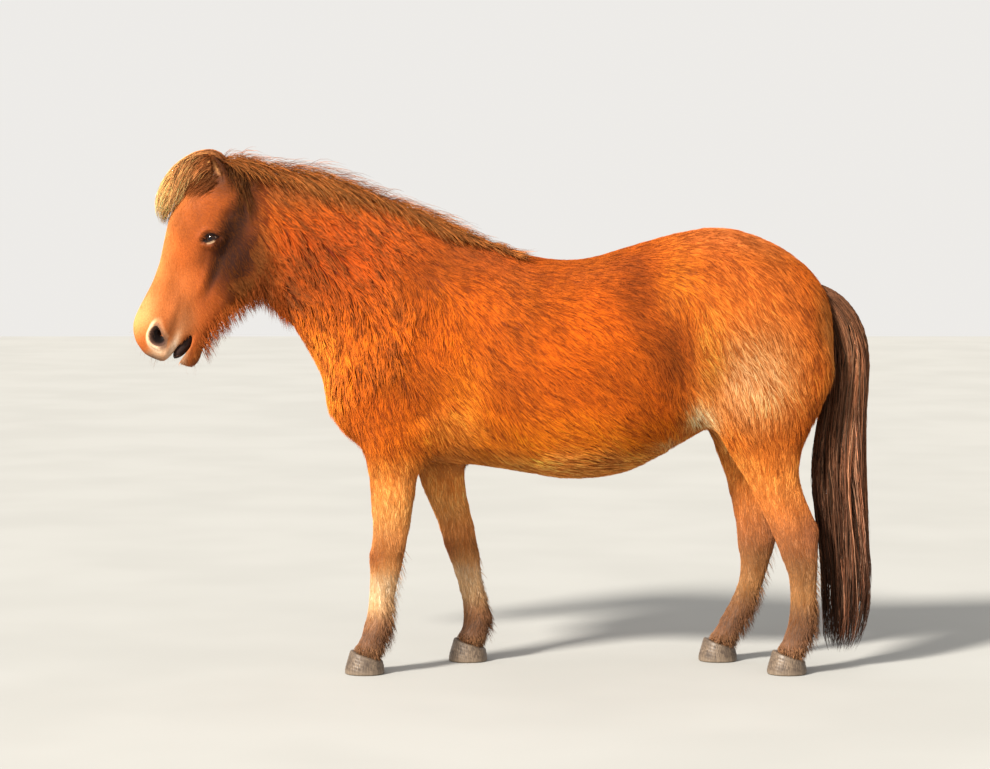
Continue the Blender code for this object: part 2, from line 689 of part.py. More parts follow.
def loose_parts(thing, group):
    """The object's separate bodies, the largest first, each as an object of its own."""
    shape = bmesh.new()
    shape.from_mesh(thing.data)
    bmesh.ops.triangulate(shape, faces=shape.faces)
    bodies, seen = [], set()
    for start in shape.verts:
        if start in seen:
            continue
        body, waiting = [], [start]
        seen.add(start)
        while waiting:
            vert = waiting.pop()
            body.append(vert)
            for edge in vert.link_edges:
                other = edge.other_vert(vert)
                if other not in seen:
                    seen.add(other)
                    waiting.append(other)
        bodies.append(body)
    made = []
    for body in sorted(bodies, key=len, reverse=True):
        order = {vert: i for i, vert in enumerate(body)}
        faces = {face: None for vert in body for face in vert.link_faces}
        mesh = bpy.data.meshes.new(thing.name)
        mesh.from_pydata([vert.co for vert in body], [], [[order[v] for v in face.verts] for face in faces])
        made.append(object_of(thing.name, mesh, group))
    shape.free()
    bpy.data.objects.remove(thing, do_unlink=True)
    return made


def largest(thing, group):
    name = thing.name
    parts = loose_parts(thing, group)
    for spare in parts[1:]:
        bpy.data.objects.remove(spare, do_unlink=True)
    parts[0].name = name
    return parts[0]


def middle_of(thing):
    points = mesh_points(thing.data)
    return Vector((points.min(axis=0) + points.max(axis=0)) / 2)


def leg_line(leg, height):
    """The y of a leg's middle at a height."""
    rows = sorted((row[0], row[1]) for row in leg["stations"].values())
    return leg["y"] + leg_swing(leg, height) + float(np.interp(height, *zip(*rows)))


def node_places():
    """Where the middle of each flesh node should be. A loose body takes the name of the nearest."""
    places = {
        "trunk": Vector((0.0, 0.24, 1.00)),
        "neck": Vector((0.0, -0.43, 1.22)),
        "head": head_point(0.0, 0.320, 0.060),
        "lower_jaw": head_point(0.0, 0.360, 0.210),
    }
    for name, leg in LEGS.items():
        kind = name.split("_")[0]
        heights = [height for height, reach in LEG_CUTS[kind]] + [0.05]
        for node, top, bottom in zip(LEG_NODES[kind], heights, heights[1:]):
            height = (top + bottom) / 2
            places[f"{node}_{name}"] = Vector((leg["side"] * leg["track"], leg_line(leg, height), height))
        places[f"waste_{name}"] = leg_middle(leg, "sole") - Vector((0.0, 0.0, 0.005))
    return places


def leg_slabs(cutters):
    made = []
    for name, leg in LEGS.items():
        for height, reach in LEG_CUTS[name.split("_")[0]]:
            y = leg_line(leg, height)
            ends = ((y - reach, height), (y + reach, height))
            made.append(slab(f"cut_{name}", *ends, leg["side"] * (leg["track"] + 0.005), 0.105, cutters))
        front, back = (Vector(end) for end in coronet_line(leg, 0.0))
        past = (front - back) * 0.35
        made.append(slab(f"cut_{name}", front + past, back - past, leg["side"] * leg["track"], 0.09, cutters))
    return made


def eye_place(side):
    return head_point(side * 0.0835, 0.214, 0.103)


def nostril_hollow(side, group):
    (x, s, t), (across, down, deep), degrees = NOSTRIL
    turn = Matrix((Vector((1, 0, 0)), FACE_DOWN, FACE_BACK)).transposed().to_4x4()
    lean = Matrix.Rotation(math.radians(degrees), 4, "X")
    return ellipsoid("nostril", head_point(side * x, s, t), (across, down, deep), turn @ lean, group, 12, 8)


def flesh_nodes(whole, horse, cutters):
    jaw_ends = [tuple(head_point(0.0, s, t))[1:] for s, t in ((0.525, 0.1525), (0.060, 0.2300))]
    slabs = [slab(name, *row, cutters) for name, row in CUTS.items() if name != "tail_fall"]
    slabs += [slab("jaw_line", *jaw_ends, 0.0, 0.13, cutters)] + leg_slabs(cutters)
    whole = less(whole, slabs, horse)
    places = node_places()
    for body in loose_parts(whole, horse):
        middle = middle_of(body)
        name = min(places, key=lambda name: (places[name] - middle).length)
        if name.startswith("waste") or name in bpy.data.objects:
            print("left out", name, len(body.data.vertices))
            bpy.data.objects.remove(body, do_unlink=True)
            continue
        body.name = name
        body.data.materials.append(material("lower_leg" if middle.z < 0.42 else "coat"))


def centre_on_origin(horse):
    """Moves everything so that the middle of its outline, seen from above, is over the origin."""
    points = np.vstack([mesh_points(thing.data) for thing in horse.objects])
    middle = (points.min(axis=0) + points.max(axis=0)) / 2
    for thing in horse.objects:
        thing.data.transform(Matrix.Translation((-middle[0], -middle[1], 0.0)))


def main():
    clear_scene()
    horse = new_collection("icelandic_horse")
    cutters = new_collection("cutters")
    cutters.hide_render = True
    whole = flesh(horse)
    print("flesh triangles", len(whole.data.polygons))

    for name, side in (("eye_left", 1), ("eye_right", -1)):
        eye = ellipsoid(name, eye_place(side), (EYE_RADIUS,) * 3, Matrix.Identity(4), horse, 16, 10)
        eye.data.materials.append(material("eyeball"))
    sockets = [
        ellipsoid("socket", eye_place(side), (EYE_RADIUS + GAP,) * 3, Matrix.Identity(4), cutters, 16, 10)
        for side in (1, -1)
    ]
    nostrils = [nostril_hollow(side, cutters) for side in (1, -1)]
    whole = less(whole, sockets + nostrils + [mouth_wedge(cutters)], horse)
    around = swollen(whole, "around_flesh", cutters)

    ears = []
    for name, side in (("ear_left", 1), ("ear_right", -1)):
        ear = largest(less(ear_body(name, side, horse), [around], horse), horse)
        ear.data.materials.append(material("coat"))
        ears.append(swollen(ear, "around_ear", cutters))
    for hair in (mane_body(horse), hair_body("forelock", FORELOCK, horse)):
        hair = largest(less(hair, [around] + ears, horse), horse)
        hair.data.materials.append(material("mane_hair"))
    tail = largest(less(hair_body("tail", TAIL, horse), [around], horse), horse)
    tail = less(tail, [slab("tail_fall", *CUTS["tail_fall"], cutters)], horse)
    for piece in loose_parts(tail, horse):
        piece.name = "tail_dock" if middle_of(piece).z > 1.0 else "tail_hair"
        piece.data.materials.append(material("tail_hair"))
    for name, leg in LEGS.items():
        hoof = hoof_body("hoof_" + name, leg, horse)
        hoof.data.materials.append(material("horn"))
    flesh_nodes(whole, horse, cutters)
    centre_on_origin(horse)

    for thing in list(cutters.objects):
        thing.display_type = "WIRE"
        thing.hide_render = True
    total = sum(len(thing.data.polygons) for thing in horse.objects)
    print("nodes", len(horse.objects), "faces", total)
    for thing in sorted(horse.objects, key=lambda thing: thing.name):
        print(thing.name, len(thing.data.polygons), [round(v, 3) for v in middle_of(thing)])


main()
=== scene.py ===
import json
import math

import bmesh
import bpy
import numpy as np
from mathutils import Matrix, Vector, kdtree

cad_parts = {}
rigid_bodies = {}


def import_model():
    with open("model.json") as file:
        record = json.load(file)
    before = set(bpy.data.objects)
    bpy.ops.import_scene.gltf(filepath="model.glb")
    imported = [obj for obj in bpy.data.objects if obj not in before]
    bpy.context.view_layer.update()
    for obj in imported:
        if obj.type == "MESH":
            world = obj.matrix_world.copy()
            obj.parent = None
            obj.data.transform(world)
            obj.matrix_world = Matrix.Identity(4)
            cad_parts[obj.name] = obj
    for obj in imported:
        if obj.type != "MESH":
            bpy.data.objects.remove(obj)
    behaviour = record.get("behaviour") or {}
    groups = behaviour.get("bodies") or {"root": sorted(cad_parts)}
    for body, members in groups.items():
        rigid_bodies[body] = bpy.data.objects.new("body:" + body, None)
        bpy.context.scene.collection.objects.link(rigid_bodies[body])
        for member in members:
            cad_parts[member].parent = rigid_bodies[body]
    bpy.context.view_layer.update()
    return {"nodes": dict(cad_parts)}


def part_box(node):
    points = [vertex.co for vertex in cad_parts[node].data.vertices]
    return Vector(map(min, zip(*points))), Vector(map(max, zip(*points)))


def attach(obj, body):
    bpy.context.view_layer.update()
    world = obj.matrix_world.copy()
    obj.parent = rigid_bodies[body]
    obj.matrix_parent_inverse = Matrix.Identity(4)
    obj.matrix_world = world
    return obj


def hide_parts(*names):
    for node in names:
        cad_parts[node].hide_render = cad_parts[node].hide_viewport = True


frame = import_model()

legNames = ("foreleg_left", "foreleg_right", "hindleg_left", "hindleg_right")


# small helpers for objects and meshes

def makeActive(thing, *others):
    for each in bpy.context.view_layer.objects:
        each.select_set(each in (thing, *others))
    bpy.context.view_layer.objects.active = thing


def editMesh(thing, *steps):  # takes a mesh through steps of edit mode, each an operator with its settings
    makeActive(thing)
    bpy.ops.object.mode_set(mode="EDIT")
    for operator, settings in steps:
        operator(**settings)
    bpy.ops.object.mode_set(mode="OBJECT")


selectEverything = (bpy.ops.mesh.select_all, {"action": "SELECT"})
selectNothing = (bpy.ops.mesh.select_all, {"action": "DESELECT"})


def readArray(items, key, kind, width):
    flat = np.empty(len(items) * width, kind)
    items.foreach_get(key, flat)
    return flat.reshape(-1, width)


def pointsOf(mesh):
    return readArray(mesh.vertices, "co", np.float32, 3).astype(float)


def normalsOf(mesh):
    return readArray(mesh.vertex_normals, "vector", np.float32, 3).astype(float)


def trianglesOf(mesh, key="vertices"):
    mesh.calc_loop_triangles()
    return readArray(mesh.loop_triangles, key, np.int32, 3)


def putPoints(mesh, points):
    mesh.vertices.foreach_set("co", np.asarray(points, np.float32).ravel())
    mesh.update()


def putColours(mesh, colours):  # linear colours, one for each corner of the mesh
    layer = mesh.color_attributes.new("coatColour", "FLOAT_COLOR", "POINT")
    full = np.concatenate([colours, np.ones((len(colours), 1))], 1)
    layer.data.foreach_set("color", full.astype(np.float32).ravel())


def countTriangles(thing):
    return sum(len(face.vertices) - 2 for face in thing.data.polygons)


def unit(vectors):
    vectors = np.asarray(vectors, float)
    return vectors / np.maximum(np.linalg.norm(vectors, axis=-1, keepdims=True), 1e-9)


def layAlong(vectors, normals):  # the part of each vector that runs along the skin
    return vectors - normals * np.sum(vectors * normals, axis=1)[:, None]


def boxMiddle(node):
    low, high = map(np.array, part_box(node))
    return (low + high) / 2


def linear(colour):  # a colour as a screen shows it, 0 to 255, as the linear one that shaders take
    share = np.asarray(colour, float) / 255
    return np.where(share <= 0.04045, share / 12.92, ((share + 0.055) / 1.055) ** 2.4)


def smoothStep(low, high, value):
    t = np.clip((value - low) / (high - low), 0, 1)
    return t * t * (3 - 2 * t)


def bell(away, width):  # 1 where away is 0, falling softly to 0 on both sides
    return np.exp(-((away / width) ** 2))


def soft(points, centre, radii, power=1.0):  # 1 at the centre, falling softly to 0 past the radii
    away = ((points - np.asarray(centre)) / np.asarray(radii)) ** 2
    return np.exp(-(away.sum(axis=1) ** power))


waveTables = {}


def waves(points, size, seed):  # soft noise between about -1 and 1, with bumps about as large as size
    if seed not in waveTables:
        own = np.random.default_rng(seed)
        ways = unit(own.normal(size=(9, 3)))
        waveTables[seed] = ways, own.uniform(0, 2 * np.pi, 9), own.uniform(0.7, 1.5, 9)
    ways, starts, pace = waveTables[seed]
    turns = points @ ways.T * (2 * np.pi / (2.2 * size)) * pace + starts
    return np.sin(turns).sum(axis=1) / 3.2


# the head's own axes: x to the left, s down the face from the poll, t back towards the throat

headAxes = {"slope": math.radians(23.0), "eyeS": 0.214, "eyeT": 0.103, "eyeDeeper": 0.0045}
faceDown = np.array([0.0, -math.sin(headAxes["slope"]), -math.cos(headAxes["slope"])])
faceBack = np.array([0.0, math.cos(headAxes["slope"]), -math.sin(headAxes["slope"])])
eyeCentre = {"left": boxMiddle("eye_left"), "right": boxMiddle("eye_right")}
eyeRadius = float(np.subtract(*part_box("eye_left")[::-1])[2]) / 2
midEye = (eyeCentre["left"] + eyeCentre["right"]) / 2
poll = midEye - headAxes["eyeS"] * faceDown - headAxes["eyeT"] * faceBack
poll[0] = 0.0
sides = (("left", 1.0), ("right", -1.0))
for side, sign in sides:
    eyeCentre[side] = eyeCentre[side] - np.array([sign * headAxes["eyeDeeper"], 0.0, 0.0])


def headPoint(x, s, t):
    return poll + s * faceDown + t * faceBack + np.array([x, 0.0, 0.0])


def headWay(x, s, t):
    return unit(s * faceDown + t * faceBack + np.array([x, 0.0, 0.0]))


def headPlaces(points):  # each point's x, s and t
    away = points - poll
    return points[:, 0], away @ faceDown, away @ faceBack


# the line behind the jaw and ears where the finer skin of the head ends
nape = {"point": np.array([0.0, -0.716, 1.36]), "normal": unit(np.array([0.0, 0.9943, 0.1065]))}


def behindNape(points):
    return (points - nape["point"]) @ nape["normal"]


# the skin

skinShape = {
    "bodyVoxel": 0.0160,
    "headVoxel": 0.0041,
    "overlap": 0.00035,
    "bodyRounds": 26,
    "headRounds": 62,
    "fineRounds": 5,
    "seamRounds": 24,
    "fullerEyes": 0.0024,
}
eyeShape = {
    "halfWidth": 0.0222,
    "upper": 0.0136,
    "lower": 0.0092,
    "tilt": math.radians(15.0),
    "outward": (0.95, -0.27, 0.06),
    "lidThickness": 0.0026,
    "sink": 0.0045,
}
nostrilShape = {
    "place": (0.058, 0.560, 0.055),
    "long": 0.0310,
    "wide": 0.0165,
    "lean": 0.62,
    "depth": 0.024,
    "rim": 0.0065,
}
lipCorner = (0.035, 0.590, 0.130)


def nostrilPlace(sign):
    x, s, t = nostrilShape["place"]
    return headPoint(sign * x, s, t)


def fleshCopy(name, nodes, fuller=()):  # CAD nodes as one mesh, pushed out a hair or as fuller says
    shape = bmesh.new()
    for node in nodes:
        part = bmesh.new()
        part.from_mesh(frame["nodes"][node].data)
        part.transform(frame["nodes"][node].matrix_world)
        bmesh.ops.remove_doubles(part, verts=part.verts, dist=1e-6)
        bmesh.ops.recalc_face_normals(part, faces=part.faces)
        part.normal_update()
        reach = dict(fuller).get(node, skinShape["overlap"])
        for vert, move in [(vert, vert.normal * reach) for vert in part.verts]:
            vert.co += move
        mesh = bpy.data.meshes.new("part")
        part.to_mesh(mesh)
        shape.from_mesh(mesh)
        part.free()
        bpy.data.meshes.remove(mesh)
    mesh = bpy.data.meshes.new(name)
    shape.to_mesh(mesh)
    shape.free()
    made = bpy.data.objects.new(name, mesh)
    bpy.context.scene.collection.objects.link(made)
    return made


def voxelRemesh(thing, size):
    makeActive(thing)
    thing.data.remesh_voxel_size = size
    thing.data.remesh_voxel_adaptivity = 0.0
    bpy.ops.object.voxel_remesh()


def neighbourMean(points, edges, degree):
    total = np.zeros_like(points)
    for axis in range(3):
        total[:, axis] = np.bincount(edges[:, 0], points[edges[:, 1], axis], len(points))
        total[:, axis] += np.bincount(edges[:, 1], points[edges[:, 0], axis], len(points))
    return total / degree[:, None]


def relax(mesh, rounds, share=1.0, keepSize=0.0):
    points, edges = pointsOf(mesh), readArray(mesh.edges, "vertices", np.int32, 2)
    degree = np.maximum(np.bincount(edges.ravel(), minlength=len(points)), 1).astype(float)
    share = np.broadcast_to(np.asarray(share, float), len(points))[:, None]
    for _ in range(rounds):
        points += 0.5 * share * (neighbourMean(points, edges, degree) - points)
        if keepSize:
            points -= 0.5 * keepSize * share * (neighbourMean(points, edges, degree) - points)
    putPoints(mesh, points)


def fleshNodes():
    names = ["trunk", "neck", "head", "lower_jaw", "ear_left", "ear_right"]
    for leg in legNames:
        joints = ("forearm", "knee") if leg.startswith("fore") else ("gaskin", "hock")
        names += [f"{part}_{leg}" for part in (*joints, "cannon", "pastern")]
    return names


def cutAway(thing, point, normal):  # removes what lies past a plane and leaves the rim open
    cut = {"plane_co": point, "plane_no": normal, "clear_outer": True, "use_fill": False}
    editMesh(thing, selectEverything, (bpy.ops.mesh.bisect, cut))


def subdivideWhere(thing, chosen):  # one cut through each face whose corners are all chosen
    editMesh(thing, (bpy.ops.mesh.select_mode, {"type": "FACE"}), selectNothing)
    flags = [all(chosen[v] for v in face.vertices) for face in thing.data.polygons]
    thing.data.polygons.foreach_set("select", flags)
    cut = {"number_cuts": 1, "smoothness": 0.0, "quadcorner": "INNERVERT"}
    editMesh(thing, (bpy.ops.mesh.subdivide, cut))


def earShare(points):  # 1 on the ears, 0 elsewhere
    x, s, t = headPlaces(points)
    high = smoothStep(0.035, 0.010, s) * smoothStep(0.02, 0.05, t + 0.6 * (0.03 - s))
    return smoothStep(0.040, 0.058, np.abs(x)) * high * smoothStep(-0.01, -0.04, behindNape(points))


def makeBodySkin():
    body = fleshCopy("skin", fleshNodes())
    voxelRemesh(body, skinShape["bodyVoxel"])
    share = smoothStep(0.10, 0.75, pointsOf(body.data)[:, 2])
    relax(body.data, skinShape["bodyRounds"], 0.22 + 0.78 * share)
    relax(body.data, 6, 1.0, keepSize=1.02)
    cutAway(body, nape["point"] + 0.010 * nape["normal"], -nape["normal"])
    print("body skin faces", len(body.data.polygons))
    return body


def makeHeadSkin():
    eyes = ["eye_left", "eye_right"]
    names = ["neck", "head", "lower_jaw", "ear_left", "ear_right", *eyes]
    head = fleshCopy("headSkin", names, dict.fromkeys(eyes, skinShape["fullerEyes"]))
    voxelRemesh(head, skinShape["headVoxel"])
    cutAway(head, nape["point"] - 0.004 * nape["normal"], nape["normal"])
    points = pointsOf(head.data)
    plain = np.ones(len(points))  # low where the shapes are fine and have to stay
    for side, sign in sides:
        plain *= 1 - 0.94 * soft(points, eyeCentre[side], (0.030, 0.030, 0.026), 1.6)
        nostril = headPoint(sign * 0.062, 0.560, 0.055)
        plain *= 1 - 0.93 * soft(points, nostril, (0.024, 0.026, 0.032), 1.5)
    plain *= 1 - 0.88 * soft(points, headPoint(0, 0.570, 0.145), (0.09, 0.085, 0.075), 1.5)
    plain *= 1 - 0.97 * earShare(points)
    relax(head.data, skinShape["headRounds"], plain)
    relax(head.data, skinShape["fineRounds"], 1 - 0.5 * earShare(points), keepSize=1.02)
    print("head skin faces", len(head.data.polygons))
    return head


def joinSkins(body, head):
    makeActive(body, head)
    bpy.ops.object.join()
    kinds = ("extend", "use_wire", "use_multi_face", "use_non_contiguous", "use_verts")
    editMesh(body, (bpy.ops.mesh.select_mode, {"type": "EDGE"}), selectNothing,
        (bpy.ops.mesh.select_non_manifold, dict.fromkeys(kinds, False)),
        (bpy.ops.mesh.bridge_edge_loops, {"type": "SINGLE"}), selectEverything,
        (bpy.ops.mesh.normals_make_consistent, {"inside": False}))
    seam = smoothStep(0.045, 0.012, np.abs(behindNape(pointsOf(body.data)) - 0.003))
    relax(body.data, skinShape["seamRounds"], seam)


def eyeFrame(side):  # the eye's centre and its axes: back along the lids, up across them, and outward
    sign = dict(sides)[side]
    outward = unit(np.array(eyeShape["outward"]) * (sign, 1, 1))
    back = np.array([0.0, math.cos(eyeShape["tilt"]), math.sin(eyeShape["tilt"])])
    back = unit(back - outward * (back @ outward))
    upward = np.cross(outward, back) * sign
    return eyeCentre[side], back, upward, outward


def lidEdges(u):  # heights of the upper and lower lid edge at each place along the eye
    reach = np.clip(1 - (u / eyeShape["halfWidth"]) ** 2, 0, 1)
    rear = np.clip(u / eyeShape["halfWidth"], -1, 1)
    upper = eyeShape["upper"] * reach**0.75 * (1 + 0.10 * rear)
    return upper, -eyeShape["lower"] * reach**0.85 * (1 - 0.12 * rear)


def lidGap(points, side):  # how far each place is outside the eye's opening, with its place on the eye's axes
    centre, back, upward, outward = eyeFrame(side)
    away = points - centre
    u, v, n = away @ back, away @ upward, away @ outward
    upper, lower = lidEdges(u)
    corner = np.clip(np.abs(u) - eyeShape["halfWidth"], 0, None)
    gap = np.where(corner > 0, np.hypot(corner, v), np.maximum(v - upper, lower - v))
    near = (n > -0.012) & (np.hypot(u, v) < 0.055)
    return np.where(near, gap, 9.0), u, v, near


def sculptEye(points, side):
    centre, back, upward, outward = eyeFrame(side)
    gap, u, v, near = lidGap(points, side)
    upper, lower = lidEdges(u)
    away = points - centre
    radius = np.linalg.norm(away, axis=1)
    way = away / np.maximum(radius, 1e-6)[:, None]
    lid = eyeRadius + eyeShape["lidThickness"] + 0.0011 * bell(gap - 0.0022, 0.0016)
    close = 0.75 * (radius < lid) * smoothStep(0.030, 0.012, gap)
    hug = np.maximum(smoothStep(0.0120, 0.0040, gap), close) * near
    mound = 0.0045 * bell(gap - 0.013, 0.010) * (1 - hug) * near
    target = radius + hug * (lid - radius) + mound
    inside = smoothStep(0.0004, -0.0012, gap) * near
    target = target + inside * (eyeRadius - eyeShape["sink"] - target)
    points[:] = np.where(near[:, None], centre + way * target[:, None], points)
    over, under = (v > 0) & near, (v <= 0) & near
    wide = np.abs(u)
    fold = bell(v - upper - 0.0085 - 0.10 * wide, 0.0015) * over * smoothStep(0.030, 0.018, wide)
    crease = bell(v - upper - 0.0150 + 0.15 * u, 0.0019) * over * smoothStep(0.026, 0.010, np.abs(u + 0.006))
    bag = bell(v - lower + 0.0078 + 0.12 * u, 0.0017) * under * smoothStep(0.028, 0.014, wide)
    brow = soft(points, centre + 0.024 * upward - 0.004 * back + 0.004 * outward, (0.020, 0.022, 0.010))
    points += outward * (-0.0022 * fold - 0.0014 * crease - 0.0013 * bag + 0.0045 * brow)[:, None]


def nostrilRing(points, sign):  # below 1 inside the nostril's opening, with the axes the rim is shaped on
    outward = headWay(sign * 0.88, 0.16, -0.42)
    down = unit(headWay(0, 1, -0.12) - outward * (headWay(0, 1, -0.12) @ outward))
    back = unit(np.cross(outward, down) * -sign)
    away = points - nostrilPlace(sign)
    a, b, n = away @ down, away @ back, away @ outward
    cos, sin = math.cos(nostrilShape["lean"]), math.sin(nostrilShape["lean"])
    a, b = a * cos - b * sin, a * sin + b * cos
    bend = b + 4.0 * a**2 - 0.001  # the opening curves a little, hollow side back
    wide = nostrilShape["wide"] * (1 + 0.25 * np.clip(a / nostrilShape["long"], -1, 1))
    ring = np.sqrt((a / nostrilShape["long"]) ** 2 + (bend / wide) ** 2)
    near = (n > -0.030) & (np.abs(a) < 0.060) & (np.abs(b) < 0.045) & (points[:, 0] * sign > 0.012)
    return np.where(near, ring, 9.0), b, near, outward


def sculptNostril(points, sign):
    ring, b, near, outward = nostrilRing(points, sign)
    inside = smoothStep(1.02, 0.72, ring) * near
    rim = bell(ring - 1.28, 0.24) * near * (0.55 + 0.45 * np.clip(b / 0.015, -1, 1))
    groove = bell(ring - 1.95, 0.22) * near * smoothStep(0.0, 0.02, b)
    inward = unit(-outward * 0.8 + headWay(0, -1, 0.25) * 0.6)
    points += inward * (nostrilShape["depth"] * inside)[:, None]
    points += outward * (nostrilShape["rim"] * rim - 0.0016 * groove)[:, None]


def ridge(points, normals, start, end, width, height):  # raises or sinks the skin along a line
    start, end = np.asarray(start, float), np.asarray(end, float)
    way = end - start
    share = np.clip(((points - start) @ way) / (way @ way), 0, 1)
    distance = np.linalg.norm(points - start - share[:, None] * way, axis=1)
    taper = np.sin(np.pi * (0.12 + 0.76 * share))
    points += normals * (height * taper * bell(distance, width))[:, None]


headRidges = (  # start and end on the head's axes on the left side, mirrored; width, height
    # the facial crest and the hollow behind it, the cheek's edge, the hollow over the eye
    ((0.090, 0.245, 0.122), (0.064, 0.390, 0.126), 0.011, 0.0090),
    ((0.090, 0.235, 0.148), (0.064, 0.385, 0.152), 0.013, -0.0085),
    ((0.070, 0.190, 0.262), (0.066, 0.330, 0.270), 0.020, 0.0040),
    ((0.088, 0.140, 0.128), (0.080, 0.110, 0.110), 0.018, -0.0050),
    # the side of the nose, between the nose bone and the cheek
    ((0.060, 0.330, 0.050), (0.050, 0.480, 0.050), 0.022, -0.0040),
    ((0.030, 0.280, -0.032), (0.026, 0.490, -0.026), 0.012, 0.0026),
    # lips: a fold behind the mouth's corner and a soft edge along both lips
    ((0.050, 0.490, 0.135), (0.050, 0.500, 0.180), 0.006, -0.0022),
    ((0.046, 0.525, 0.128), (0.036, 0.630, 0.098), 0.007, 0.0024),
    ((0.040, 0.540, 0.172), (0.028, 0.606, 0.162), 0.007, 0.0020),
    ((0.050, 0.520, 0.096), (0.044, 0.600, 0.092), 0.012, -0.0022),
    ((0.058, 0.430, 0.088), (0.050, 0.530, 0.104), 0.013, -0.0065),
    # a vein and a wrinkle on the cheek
    ((0.080, 0.300, 0.115), (0.056, 0.470, 0.085), 0.0045, 0.0018),
    ((0.060, 0.400, 0.120), (0.052, 0.470, 0.150), 0.0050, 0.0014),
)
bodyRidges = (  # start and end on the left side, mirrored; width, height
    # the shoulder's edge, the groove before the elbow, the folds of breast and elbow
    ((0.14, -0.16, 1.22), (0.19, -0.40, 0.90), 0.035, 0.0060),
    ((0.15, -0.02, 1.18), (0.20, -0.14, 0.80), 0.050, -0.0060),
    ((0.16, -0.30, 0.78), (0.19, -0.18, 0.86), 0.022, -0.0060),
    ((0.10, -0.52, 1.00), (0.16, -0.34, 0.96), 0.022, -0.0060),
    # the flank's fold and the muscles of the thigh
    ((0.21, 0.60, 0.95), (0.17, 0.66, 0.74), 0.030, 0.0080),
    ((0.22, 0.53, 1.00), (0.19, 0.57, 0.82), 0.040, -0.0080),
    ((0.14, 0.97, 1.10), (0.16, 0.93, 0.80), 0.022, -0.0060),
    ((0.17, 0.62, 1.24), (0.20, 0.66, 1.12), 0.035, 0.0050),
    ((0.09, -0.66, 1.18), (0.13, -0.54, 1.02), 0.020, -0.0050),
)
tendon = {"out": 0.036, "back": 0.016, "top": -0.45, "bottom": 0.42, "width": 0.009, "height": -0.0045}
pasternRidge = ("pastern", (0, -0.036, 0.030), (0, -0.050, -0.010), 0.020, -0.0020)
legRidges = {  # part, start and end beside its middle on a left leg; width, height
    "fore": (("knee", (0, -0.055, 0.030), (0, -0.058, -0.030), 0.030, 0.0040),
        ("knee", (0, -0.055, -0.052), (0, -0.055, -0.060), 0.018, -0.0030),
        ("knee", (-0.040, 0, 0.166), (-0.040, 0, 0.134), 0.010, 0.0045), pasternRidge),
    "hind": (("hock", (0, 0.080, 0.050), (0, 0.070, 0.010), 0.020, 0.0060),
        ("hock", (0.030, 0.034, 0.100), (0.034, 0.040, 0.020), 0.014, -0.0070),
        ("hock", (-0.030, 0.034, 0.100), (-0.034, 0.040, 0.020), 0.014, -0.0060), pasternRidge),
}


def sculptHead(skin):
    mesh = skin.data
    points, normals = pointsOf(mesh), normalsOf(mesh)
    for side, sign in sides:
        for *ends, width, height in headRidges:
            start, end = (headPoint(sign * x, s, t) for x, s, t in ends)
            ridge(points, normals, start, end, width, height)
    for side, sign in sides:
        outward = eyeFrame(side)[3]
        socket = soft(points, eyeCentre[side] + outward * 0.018, (0.05, 0.042, 0.040), 1.3)
        points += outward * (0.0075 * socket)[:, None]
        sculptEye(points, side)
        sculptNostril(points, sign)
    putPoints(mesh, points)


def legAxis(leg):  # the middles of a leg's knee or hock, cannon, pastern and hoof
    joint = "knee" if leg.startswith("fore") else "hock"
    return {part: boxMiddle(f"{part}_{leg}") for part in (joint, "cannon", "pastern", "hoof")}


def sculptBody(skin):  # tendons, joints and the muscles that show
    mesh = skin.data
    points, normals = pointsOf(mesh), normalsOf(mesh)
    for leg in legNames:
        places = legAxis(leg)
        mirror = (1.0 if leg.endswith("left") else -1.0, 1, 1)
        cannon, pastern = places["cannon"], places["pastern"]
        for face in (1, -1):
            groove = np.array([tendon["out"] * face, tendon["back"], 0.0])
            start, end = (cannon + (pastern - cannon) * tendon[key] + groove for key in ("top", "bottom"))
            ridge(points, normals, start, end, tendon["width"], tendon["height"])
        for part, start, end, width, height in legRidges[leg[:4]]:
            start, end = (places[part] + np.array(place) * mirror for place in (start, end))
            ridge(points, normals, start, end, width, height)
    for sign in (1, -1):
        for start, end, width, height in bodyRidges:
            start, end = (np.array(place) * (sign, 1, 1) for place in (start, end))
            ridge(points, normals, start, end, width, height)
    putPoints(mesh, points)


def coatDepth(points):  # how far inside the coat's tips the skin lies
    x, s, t = headPlaces(points)
    onHead = smoothStep(0.02, -0.06, behindNape(points))
    face = 0.0030 - 0.0022 * smoothStep(0.40, 0.52, s)
    face = face + 0.006 * smoothStep(0.19, 0.28, t) * smoothStep(0.55, 0.45, s)
    low = smoothStep(0.72, 0.40, points[:, 2])
    body = 0.0075 + 0.0060 * soft(points, (0, -0.52, 1.20), (0.5, 0.30, 0.38))
    body = body - 0.0015 * soft(points, (0, 0.80, 1.20), (0.5, 0.4, 0.3))
    body = body * (1 - low) + 0.0045 * low
    depth = body * (1 - onHead) + face * onHead
    return depth * (1 - earShare(points)) + 0.0008 * earShare(points)


